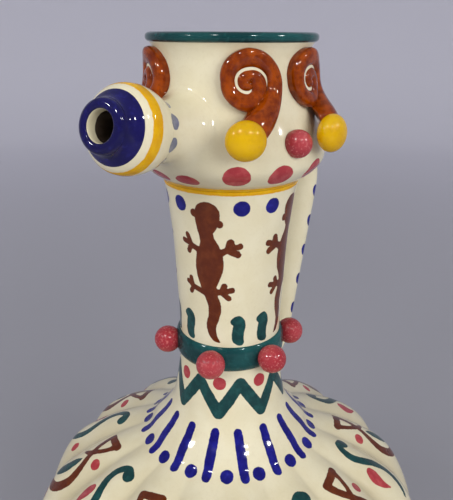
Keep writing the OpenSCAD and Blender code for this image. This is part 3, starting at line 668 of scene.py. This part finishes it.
z_top, z_low = Z_THROAT + TOP_SHARE * BOWL_H, Z_NECK + LOW_SHARE * NECK_H
upper_mid = Vector((0, BELLY_R - WALL / 2, z_top - UPPER_BEND)) * MM
lower_mid = Vector((0, pot_r(z_low), z_low + LOWER_BEND)) * MM
gap = upper_mid - lower_mid
narrow = math.asin((UPPER_BEND - LOWER_BEND) * MM / gap.length)
lean_angle = math.atan2(gap.y, gap.z) + narrow
straight = Vector((0, -math.sin(lean_angle), -math.cos(lean_angle))) * gap.length * math.cos(narrow)
deselect()
bpy.ops.mesh.primitive_circle_add(vertices=HANDLE_SIDES, radius=1 * MM, location=(0, 0, 0))
handle = named("handle_tube")
edit_all()
bpy.ops.transform.resize(value=(HANDLE_W, HANDLE_T, 1), center_override=(0, 0, 0))
bpy.ops.object.mode_set(mode="OBJECT")
handle.rotation_euler = (math.pi / 2, 0, 0)
handle.location = upper_mid + Vector((0, -HANDLE_ROOT * MM, UPPER_BEND * MM))
bpy.ops.object.transform_apply(location=True, rotation=True, scale=True)
edit_all()
pull((0, HANDLE_ROOT * MM, 0))
bpy.ops.mesh.spin(steps=UPPER_STEPS, angle=math.pi / 2 + lean_angle, center=upper_mid, axis=(1, 0, 0))
for _ in range(STRAIGHT_STEPS):
    pull(straight / STRAIGHT_STEPS)
bpy.ops.mesh.spin(steps=LOWER_STEPS, angle=math.pi / 2 - lean_angle, center=lower_mid, axis=(1, 0, 0))
pull((0, -HANDLE_ROOT * MM, 0))
bpy.ops.mesh.select_all(action="SELECT")
bpy.ops.mesh.fill_holes(sides=0)
leave_edit()
bpy.ops.object.shade_smooth()
co = places_of(handle)
high_end = np.clip((BELLY_R + SWELL_RUN - co[:, 1]) / SWELL_RUN, 0, 1) * (co[:, 2] > z_top - 12)
low_end = np.clip((pot_r(z_low) + SWELL_RUN - co[:, 1]) / SWELL_RUN, 0, 1) * (co[:, 2] < z_low + 11)
swell = 1 + SWELL * high_end ** 2 + SWELL * low_end ** 2
co[:, 0] *= swell
co[:, 2] = np.where(high_end > 0, z_top + (co[:, 2] - z_top) * swell, co[:, 2])
co[:, 2] = np.where(low_end > 0, z_low + (co[:, 2] - z_low) * swell, co[:, 2])
handle.data.vertices.foreach_set("co", (co * MM).reshape(-1))
handle.data.update()
report(handle)

# %% [markdown]
# A row of cobalt spots runs down each side of the handle, just behind the widest place of its section.

# %% Painting the handle
SPOT_GAP, SPOT_FIRST, SPOT_ASIDE = 15.9, 11.6, math.radians(80)
SPOT_ROWS, SPOT_R = 8, 2.6
spots = []
for k in range(SPOT_ROWS):
    for s in (-1, 1):
        go = SPOT_FIRST + SPOT_GAP * k
        turn = math.pi / 2 - min(go / UPPER_BEND, math.pi / 2 + lean_angle)
        mid = upper_mid / MM + Vector((0, math.cos(turn), math.sin(turn))) * UPPER_BEND
        left = max(0.0, go - (math.pi / 2 + lean_angle) * UPPER_BEND)
        if left > straight.length / MM:
            continue
        mid = mid + straight.normalized() * left
        out = Vector((0, math.cos(turn), math.sin(turn)))
        beside = Vector((s * HANDLE_W * math.sin(SPOT_ASIDE), 0, 0))
        spots.append(mid + beside + out * HANDLE_T * math.cos(SPOT_ASIDE))
dab(handle, "cobalt", spots, SPOT_R, (1, 1, 0.8))

# %% [markdown]
# A scroll is a thick rope of clay, curled up and laid on the wall of the bowl. Its loose end runs down,
# leaves the wall and carries a ball. Each ring of the rope is a low dome with a flat back.
# A flat cake of bare cream lies under the coil, and shows as a thin line between its turns.
# Both are modelled once and copied round the bowl.

# %% Scrolls
SCROLLS = [45, 94, 266, 324]
SCROLL_TURN, BALL_TURN = 0.5, -3.0
SCROLL_R, RELIEF, COIL_TURNS = 12.25, 5.2, 1.95
Z_SCROLL, Z_BALL = Z_THROAT + 0.755 * BOWL_H, Z_THROAT + 0.413 * BOWL_H
BALL_D, BALL_T = 15.2, 11.0
ROPE_SIDES, COIL_RINGS, TAIL_RINGS, CORE_SIDES = 28, 150, 26, 48
BALL_R = bowl_r(Z_BALL) + BALL_T / 2 + 0.27 * BALL_D
coil_table = np.array([
    (0, 0.54, 1.05), (0.06, 0.50, 1.02), (0.125, 0.46, 1), (0.25, 0.385, 1), (0.375, 0.36, 0.91),
    (0.5, 0.32, 0.77), (0.625, 0.30, 0.80), (0.75, 0.275, 0.89), (0.8, 0.20, 0.87), (0.86, 0.06, 0.68),
    (0.92, 0.03, 0.61), (1, 0.02, 0.55), (1.125, 0, 0.473), (1.25, -0.12, 0.398), (1.375, -0.12, 0.373),
    (1.5, -0.12, 0.333), (1.625, -0.12, 0.313), (1.75, -0.12, 0.285), (1.85, -0.12, 0.24),
    (COIL_TURNS, -0.12, 0.19)])
END_HIGH, END_HALF, SEAT_OUT = 0.62 * BALL_T, 0.37 * BALL_D, 0.4 * BALL_D
SEAT_ANGLE, SEAT_LEAN = math.radians(43), math.radians(26)


def coil_edges(turn):
    return [float(np.interp(turn, coil_table[:, 0], coil_table[:, i])) * SCROLL_R for i in (1, 2)]


def on_bowl(x, y, out, angle):
    """A point of the bowl wall from its flat sheet: sideways, up and out, in millimetres."""
    z = Z_SCROLL + y
    return around((bowl_r(z) + out) * MM, angle + math.degrees(x / WAIST_R), z * MM)


dome = []
for k in range(ROPE_SIDES):
    a = 2 * math.pi * k / ROPE_SIDES
    dome.append((math.cos(a), math.copysign(abs(math.sin(a)) ** 0.5, math.sin(a))))


def rope_ring(q, inward, half, rise, sink, angle):
    """One ring of the rope: a dome over the wall, with its flat back a little in the wall."""
    ring = []
    for c, s in dome:
        w = half * c
        h = rise * s if s > 0 else sink * s
        ring.append(on_bowl(q[0] + inward[0] * w, q[1] + inward[1] * w, q[2] + h, angle))
    return ring


def seat_ring(far, wide):
    """The end of the rope: a ring on the upper side of its ball, a little behind it."""
    a = math.radians(BALL_TURN)
    sideways, out, up = Vector((math.cos(a), math.sin(a), 0)), around(1, BALL_TURN, 0), Vector((0, 0, 1))
    flat_way = sideways * math.cos(SEAT_ANGLE) + up * math.sin(SEAT_ANGLE)
    across = up * math.cos(SEAT_ANGLE) - sideways * math.sin(SEAT_ANGLE)
    way = flat_way * math.cos(SEAT_LEAN) - out * math.sin(SEAT_LEAN)
    outward = out * math.cos(SEAT_LEAN) + flat_way * math.sin(SEAT_LEAN)
    middle = around(BALL_R, BALL_TURN, Z_BALL) + way * far
    ring = []
    for c, s in dome:
        height = END_HIGH * wide * (s - 0.5) if s > 0 else END_HIGH * wide * (0.06 * s - 0.5)
        ring.append((middle + across * END_HALF * wide * c + outward * height) * MM)
    return ring, -way


def held_back(q, s, t):
    """A point of the tail, with the back of the tail held on the wall until shortly before the ball."""
    r, wall = math.hypot(q.x, q.y), (bowl_r(q.z / MM) - 0.6) * MM
    late = max(0.0, (t - 0.45) / 0.55)
    hold = min(1.0, max(0.0, (0.35 - s) / 0.5)) * (1 - late * late * (3 - 2 * late))
    kept = mix(r, min(r, wall), hold) / r
    return Vector((q.x * kept, q.y * kept, q.z))


def scroll_rings():
    """All rings of the rope, from the middle of the coil to the ball."""
    rings = []
    for k in range(COIL_RINGS):
        turn = COIL_TURNS * (1 - k / (COIL_RINGS - 1))
        a = 2 * math.pi * turn
        inner, outer = coil_edges(turn)
        rho, half = (inner + outer) / 2, (outer - inner) / 2
        begin = min(1, k / 6) ** 0.5
        rise = RELIEF * mix(0.5, 1, begin) * mix(0.72, 1, min(1, half / 2.6))
        rings.append(rope_ring((rho * math.cos(a), rho * math.sin(a), 0), (-math.cos(a), -math.sin(a)),
                               half * mix(0.35, 1, begin), rise, 0.8, SCROLL_TURN))
    here = rings[-1]
    inner, outer = coil_edges(0)
    lower = rope_ring(((inner + outer) / 2, -1, 0), (-1, 0), (outer - inner) / 2, RELIEF, 0.8, SCROLL_TURN)
    there, inward = seat_ring(SEAT_OUT, 1.0)
    for k in range(1, TAIL_RINGS + 1):
        t = k / TAIL_RINGS
        ring = []
        for p0, p0_lower, p1, (c, s) in zip(here, lower, there, dome):
            far = (p1 - p0).length
            leave, arrive = (p0_lower - p0) / MM * far, inward * far * 0.9
            q = p0 * (2 * t ** 3 - 3 * t * t + 1) + leave * (t ** 3 - 2 * t * t + t)
            q = q + p1 * (3 * t * t - 2 * t ** 3) + arrive * (t ** 3 - t * t)
            ring.append(held_back(q, s, t))
        rings.append(ring)
    return rings + [seat_ring(SEAT_OUT - 1.2, 0.96)[0], seat_ring(SEAT_OUT - 3, 0.5)[0]]


scroll_first = rolled_up("scroll_first", scroll_rings())
report(scroll_first)
core_rows = [(0.57, -0.15), (0.57, 0.55), (0.54, 0.71), (0.45, 0.75), (0.25, 0.76), (0.05, 0.76)]
core_angles = [2 * math.pi * k / CORE_SIDES for k in range(CORE_SIDES)]
core_rings = []
for wide, lift in core_rows:
    core_r = wide * SCROLL_R
    core_rings.append([on_bowl(core_r * math.cos(a), core_r * math.sin(a), lift * RELIEF, SCROLL_TURN)
                       for a in core_angles])
core_first = rolled_up("core_first", core_rings)
report(core_first)


def copies(first, angles, name):
    """Copies of a piece turned round the jug, each with its own mesh."""
    made = []
    for i, angle in enumerate(angles):
        deselect()
        first.select_set(True)
        bpy.context.view_layer.objects.active = first
        bpy.ops.object.duplicate(linked=False)
        piece = named("%s_%d" % (name, i + 1))
        piece.rotation_euler = (0, 0, math.radians(angle))
        bpy.ops.object.transform_apply(location=True, rotation=True, scale=True)
        made.append(piece)
    bpy.data.objects.remove(first)
    return made


scrolls = copies(scroll_first, SCROLLS, "scroll_rope")
cores = copies(core_first, SCROLLS, "scroll_core")

# %% [markdown]
# Balls, beads and studs are rolled between the palms and pressed on. A ball starts as a sphere and is
# flattened. A bead or stud is cut off inside the wall that it sits on, and closed there.

# %% Balls, beads and studs


def rolled(name, radius, flat, centre_r, z, cut_r=None):
    """A rolled ball at angle 0, flattened towards the jug, and cut off inside its wall where asked."""
    deselect()
    bpy.ops.mesh.primitive_uv_sphere_add(segments=48, ring_count=32, radius=radius * MM, location=(0, 0, 0))
    piece = named(name)
    edit_all()
    bpy.ops.transform.resize(value=(1.01, flat, 0.99), center_override=(0, 0, 0))
    bpy.ops.transform.translate(value=(0, -centre_r * MM, z * MM))
    if cut_r:
        bpy.ops.mesh.select_all(action="SELECT")
        bpy.ops.mesh.bisect(plane_co=(0, -cut_r * MM, 0), plane_no=(0, 1, 0), clear_outer=True, use_fill=True)
    leave_edit()
    bpy.ops.object.shade_smooth_by_angle(angle=math.radians(50))
    return piece


balls = copies(rolled("ball_first", BALL_D / 2, BALL_T / BALL_D, BALL_R, Z_BALL),
               [a + BALL_TURN for a in SCROLLS], "ball_rolled")
BEADS, BEAD_D, BEAD_SUNK = [19.5, 75.5, 135, 252, 315], 13, 0.18
bead_r = COLLAR_R + BEAD_D / 2 - BEAD_SUNK * BEAD_D
bead = rolled("bead_first", BEAD_D / 2, 1.0, bead_r, Z_COLLAR, cut_r=COLLAR_R - 0.8)
beads = copies(bead, BEADS, "bead_rolled")
STUDS, STUD_R, STUD_SHARE = [75, 122, 232, 297], 5.7, 0.350
z_stud = Z_THROAT + STUD_SHARE * BOWL_H
at_stud = bowl_r(z_stud)
stud = rolled("stud_first", STUD_R, 1.0, at_stud + 1.0, z_stud, cut_r=at_stud - 3.2)
studs = copies(stud, STUDS, "stud_rolled")
for piece in (balls[0], beads[0], studs[0]):
    report(piece)

# %% [markdown]
# The glaze is one recipe with different colours. A node group gives what every glaze has: a slow drift
# between a thin and a thick colour, fine speckles, a roughness that wanders a little, and a faint
# ripple in the surface. A second group lays a brushed colour over it where the attribute says so.

# %% Glaze and brush groups
VECTOR, COLOUR, VALUE = "NodeSocketVector", "NodeSocketColor", "NodeSocketFloat"
WHITE, BLACK = (1, 1, 1, 1), (0, 0, 0, 1)


def fed_node(tree, kind, inputs, **settings):
    """A new node with its settings. Each input gets a plain value, or a link from another node."""
    node = tree.nodes.new(kind)
    for setting, value in settings.items():
        setattr(node, setting, value)
    for label, value in inputs.items():
        if isinstance(value, bpy.types.NodeSocket):
            tree.links.new(value, node.inputs[label])
        else:
            node.inputs[label].default_value = value
    return node


def group(name, inputs, outputs):
    tree = bpy.data.node_groups.new(name, "ShaderNodeTree")
    for label, kind, value in inputs:
        socket = tree.interface.new_socket(name=label, in_out="INPUT", socket_type=kind)
        if value is not None:
            socket.default_value = value
    for label, kind in outputs:
        tree.interface.new_socket(name=label, in_out="OUTPUT", socket_type=kind)
    return tree, tree.nodes.new("NodeGroupInput"), tree.nodes.new("NodeGroupOutput")


def math_node(tree, operation, *values):
    return fed_node(tree, "ShaderNodeMath", dict(enumerate(values)), operation=operation).outputs[0]


def mix_colour(tree, factor, a, b):
    return fed_node(tree, "ShaderNodeMix", {0: factor, 6: a, 7: b}, data_type="RGBA").outputs[2]


def noise(tree, place, scale, detail=3.0, rough=0.55):
    inputs = {"Vector": place, "Scale": scale, "Detail": detail, "Roughness": rough}
    return fed_node(tree, "ShaderNodeTexNoise", inputs).outputs["Fac"]


def between(tree, value, low, high):
    inputs = {0: value, 1: low, 2: high}
    return fed_node(tree, "ShaderNodeMapRange", inputs, interpolation_type="SMOOTHSTEP").outputs[0]


def kept_on(tree, name):
    """The value that a piece keeps at each vertex under a name."""
    return fed_node(tree, "ShaderNodeAttribute", {}, attribute_name=name).outputs["Fac"]


def new_finish(name):
    """A new material, with its tree, its shader and the place on the piece."""
    material = bpy.data.materials.new(name)
    material.use_nodes = True
    tree = material.node_tree
    place = fed_node(tree, "ShaderNodeTexCoord", {}).outputs["Object"]
    return material, tree, tree.nodes["Principled BSDF"], place


glaze_tree, glaze_in, glaze_out = group(
    "glaze_tone",
    [("Place", VECTOR, None), ("Thick", COLOUR, WHITE), ("Thin", COLOUR, WHITE), ("Speck", COLOUR, WHITE),
     ("Speckle", VALUE, 0.2), ("Grain", VALUE, 900.0), ("Gloss", VALUE, 0.12), ("Drift", VALUE, 55.0)],
    [("Color", COLOUR), ("Roughness", VALUE), ("Height", VALUE)])
place = glaze_in.outputs["Place"]
drift = between(glaze_tree, noise(glaze_tree, place, glaze_in.outputs["Drift"], detail=4.0), 0.32, 0.70)
tone = mix_colour(glaze_tree, drift, glaze_in.outputs["Thick"], glaze_in.outputs["Thin"])
specks = between(glaze_tree, noise(glaze_tree, place, glaze_in.outputs["Grain"], detail=2.0), 0.52, 0.70)
speckle = math_node(glaze_tree, "MULTIPLY", specks, glaze_in.outputs["Speckle"])
tone = mix_colour(glaze_tree, speckle, tone, glaze_in.outputs["Speck"])
wander = noise(glaze_tree, place, scale=60.0, detail=2.0)
gloss = math_node(glaze_tree, "MULTIPLY_ADD", wander, 0.06, glaze_in.outputs["Gloss"])
fine = math_node(glaze_tree, "MULTIPLY", noise(glaze_tree, place, scale=420.0, detail=1.0), 0.12)
ripple = math_node(glaze_tree, "ADD", noise(glaze_tree, place, scale=70.0, detail=1.0), fine)
for label, value in (("Color", tone), ("Roughness", gloss), ("Height", ripple)):
    glaze_tree.links.new(value, glaze_out.inputs[label])

brush_tree, brush_in, brush_out = group(
    "brush_layer",
    [("Place", VECTOR, None), ("Under", COLOUR, WHITE), ("Colour", COLOUR, BLACK), ("Pale", COLOUR, BLACK),
     ("Depth", VALUE, 0.0)],
    [("Color", COLOUR), ("Mask", VALUE)])
place = brush_in.outputs["Place"]
shake = math_node(brush_tree, "SUBTRACT", noise(brush_tree, place, scale=420.0, detail=2.0), 0.5)
edge = math_node(brush_tree, "MULTIPLY_ADD", shake, 0.16, brush_in.outputs["Depth"])
mask = between(brush_tree, edge, 0.47, 0.54)
wash = between(brush_tree, noise(brush_tree, place, scale=230.0, detail=3.0, rough=0.6), 0.36, 0.76)
pigment = mix_colour(brush_tree, wash, brush_in.outputs["Colour"], brush_in.outputs["Pale"])
brushed = mix_colour(brush_tree, mask, brush_in.outputs["Under"], pigment)
brush_tree.links.new(brushed, brush_out.inputs["Color"])
brush_tree.links.new(mask, brush_out.inputs["Mask"])
print("groups:", glaze_tree.name, brush_tree.name)

# %% [markdown]
# Each finish sets its own colours in those groups: cream, amber, yellow, coral pink, dark green and
# cobalt. The colours are linear values, set and corrected until the render looked like the jug.

# %% Finishes
PAINTS = {
    "yellow": ((0.66, 0.33, 0.001), (0.74, 0.42, 0.004)),
    "pink": ((0.36, 0.034, 0.042), (0.48, 0.085, 0.085)),
    "slate": ((0.14, 0.15, 0.21), (0.24, 0.25, 0.32)),
    "green": ((0.003, 0.038, 0.038), (0.009, 0.075, 0.070)),
    "cobalt": ((0.004, 0.003, 0.13), (0.012, 0.012, 0.24)),
    "brown": ((0.095, 0.016, 0.003), (0.14, 0.030, 0.006)),
    # The last colour is painted shade, the dark of the unlit inside of the bore.
    "bore_shade": ((0.050, 0.036, 0.026), (0.070, 0.050, 0.036))}
SHINE, POOL_SHARE, RIPPLE_HIGH = 0.32, 0.75, 0.4 * MM


def glaze(name, thick, thin, speck, speckle, grain, gloss, ripple, drift=55.0, paints=(), pool=None):
    """A glossy glaze, with the brushed colours that lie under it."""
    material, tree, shader, place = new_finish(name)
    tone = fed_node(tree, "ShaderNodeGroup", {
        "Place": place, "Thick": (*thick, 1), "Thin": (*thin, 1), "Speck": (*speck, 1), "Speckle": speckle,
        "Grain": grain, "Gloss": gloss, "Drift": drift}, node_tree=glaze_tree)
    colour = tone.outputs["Color"]
    if pool:
        share = math_node(tree, "MULTIPLY", kept_on(tree, "glaze_pool"), POOL_SHARE)
        colour = mix_colour(tree, share, colour, (*pool, 1))
    for paint_name in paints:
        deep, pale = PAINTS[paint_name]
        layer = fed_node(tree, "ShaderNodeGroup", {
            "Place": place, "Under": colour, "Colour": (*deep, 1), "Pale": (*pale, 1),
            "Depth": kept_on(tree, "paint_" + paint_name)}, node_tree=brush_tree)
        colour = layer.outputs["Color"]
    bump = fed_node(tree, "ShaderNodeBump", {
        "Strength": ripple, "Distance": RIPPLE_HIGH, "Height": tone.outputs["Height"]})
    shader.inputs["Specular IOR Level"].default_value = SHINE
    for label, value in (("Base Color", colour), ("Roughness", tone.outputs["Roughness"]),
                         ("Normal", bump.outputs["Normal"])):
        tree.links.new(value, shader.inputs[label])
    return material


CREAM = dict(thick=(0.70, 0.63, 0.42), thin=(0.75, 0.69, 0.49), speck=(0.55, 0.45, 0.27), speckle=0.10,
             grain=900.0, ripple=0.03)
painted_cream = glaze("painted_cream_glaze", **CREAM, gloss=0.05, pool=(0.50, 0.42, 0.25),
                      paints=("yellow", "pink", "slate", "green", "cobalt", "brown"))
plain_cream = glaze("plain_cream_glaze", **CREAM, gloss=0.06)
# The bore's glaze carries the painted shade deep in the bore.
bore_cream = glaze("bore_cream_glaze", **CREAM, gloss=0.06, paints=("bore_shade",))
amber = glaze("amber_glaze", (0.15, 0.018, 0.0), (0.31, 0.052, 0.0), (0.08, 0.008, 0.0),
              speckle=0.45, grain=420.0, gloss=0.02, ripple=0.30, drift=260.0)
yellow_glaze = glaze("yellow_glaze", (0.60, 0.32, 0.0), (0.68, 0.40, 0.0), (0.42, 0.18, 0.0),
                     speckle=0.15, grain=500.0, gloss=0.03, ripple=0.16)
pink_glaze = glaze("pink_glaze", (0.33, 0.028, 0.036), (0.44, 0.066, 0.072), (0.60, 0.17, 0.16),
                   speckle=0.60, grain=1000.0, gloss=0.04, ripple=0.30)
green_glaze = glaze("green_glaze", (0.002, 0.036, 0.038), (0.010, 0.080, 0.078), (0.02, 0.13, 0.12),
                    speckle=0.3, grain=420.0, gloss=0.06, ripple=0.20)
cobalt_glaze = glaze("cobalt_glaze", (0.004, 0.003, 0.050), (0.008, 0.006, 0.095), (0.02, 0.02, 0.2),
                     speckle=0.25, grain=420.0, gloss=0.06, ripple=0.16)
print("finishes:", len([m for m in bpy.data.materials if m.name.endswith("_glaze")]))

# %% [markdown]
# Every new piece gets its finish, rides on the one body of the jug, and stands for its solid.

# %% Finishes and places in the frame


def settle(piece, material, slot, *nodes):
    piece.data.materials.clear()
    piece.data.materials.append(material)
    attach(piece, "root")
    if nodes:
        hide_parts(*nodes)


settle(pot, painted_cream, "cream", "body_upper", "body_lower", "neck")
settle(bowl, painted_cream, "cream", "bowl")
settle(handle, painted_cream, "cream", "handle")
settle(stem, painted_cream, "cream", "nozzle_stem")
settle(bulb, painted_cream, "cream", "nozzle_bulb")
settle(tip, cobalt_glaze, "cobalt", "nozzle_tip")
settle(bore, bore_cream, "cream")
settle(foot, plain_cream, "cream", "foot_ring")
settle(lip, green_glaze, "green", "rim_ring")
settle(collar, green_glaze, "green", "collar_ring")
for i in range(len(SCROLLS)):
    settle(scrolls[i], amber, "amber", "scroll_%d" % (i + 1))
    settle(cores[i], plain_cream, "cream")
    settle(balls[i], yellow_glaze, "yellow", "ball_%d" % (i + 1))
for i in range(len(BEADS)):
    settle(beads[i], pink_glaze, "pink", "collar_bead_%d" % (i + 1))
for i in range(len(STUDS)):
    settle(studs[i], pink_glaze, "pink", "stud_%d" % (i + 1))
for node in ("gallery_liner", "siphon_tube"):
    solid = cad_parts[node]
    solid.data.materials.clear()
    solid.data.materials.append(plain_cream)

# %% [markdown]
# A plain pale floor curves up into a wall all round, so there is no horizon from any side. Its colour goes
# from darker near the jug to lighter at the wall, as the backdrop of the photograph does: painted light.
# Two large soft lamps light the jug without showing in the glaze. Four small ones make the short bright
# highlights on lip, balls and lobes. Their directions were worked out from those highlights.

# %% Floor and light
stage_rows = smooth([[0, 0], [900, 0], [1500, 0], [1800, 60], [2000, 300], [2040, 900], [2040, 1900]], 6)
stage = turned("pale_floor", stage_rows, steps=96)
edit_all()
bpy.ops.mesh.flip_normals()
bpy.ops.object.mode_set(mode="OBJECT")
floor_finish, floor_tree, floor_shader, floor_place = new_finish("floor_with_painted_light")
far_out = fed_node(floor_tree, "ShaderNodeVectorMath", {0: floor_place}, operation="LENGTH")
# Painted light: the floor is painted darker near the jug and lighter out towards the wall, for more light
# falling far out.
painted_light_share = between(floor_tree, far_out.outputs["Value"], 0.1, 2.1)
floor_painted_light_tone = mix_colour(floor_tree, painted_light_share, (0.36, 0.356, 0.385, 1), (0.74, 0.73, 0.79, 1))
floor_tree.links.new(floor_painted_light_tone, floor_shader.inputs["Base Color"])
floor_shader.inputs["Roughness"].default_value = 0.9
stage.data.materials.append(floor_finish)

LIT_HIGH, SMALL_FAR = 0.26, 1.1
SMALL_LAMPS = [(-26, 34), (10, 48), (66, 39), (106, 34)]


def lamp(name, angle, far, high, size, power, in_glaze):
    """A lamp turned to the jug, seen either in the glaze only or on its colours only."""
    bpy.ops.object.light_add(type="AREA", location=around(far, angle, high))
    light = bpy.context.object
    light.name = name
    light.data.shape = "RECTANGLE"
    light.data.size, light.data.size_y = size
    light.data.energy = power
    light.rotation_euler = (Vector((0, 0, LIT_HIGH)) - light.location).to_track_quat("-Z", "Y").to_euler()
    light.visible_glossy = in_glaze
    light.visible_diffuse = not in_glaze
    return light


lamp("soft_left", angle=-12, far=1.25, high=0.90, size=(0.9, 0.7), power=10.4, in_glaze=False)
lamp("soft_right", angle=75, far=1.25, high=0.75, size=(0.9, 0.7), power=11.8, in_glaze=False)
for i, (angle, lift) in enumerate(SMALL_LAMPS):
    far, up = SMALL_FAR * math.cos(math.radians(lift)), SMALL_FAR * math.sin(math.radians(lift))
    lamp("small_%d" % (i + 1), angle, far, LIT_HIGH + up, size=(0.10, 0.06), power=3.0, in_glaze=True)
world = bpy.data.worlds.new("soft_room")
world.use_nodes = True
world.node_tree.nodes["Background"].inputs["Color"].default_value = (0.92, 0.94, 1.0, 1)
world.node_tree.nodes["Background"].inputs["Strength"].default_value = 0.39
bpy.context.scene.world = world
bpy.context.scene.view_settings.view_transform = "Standard"
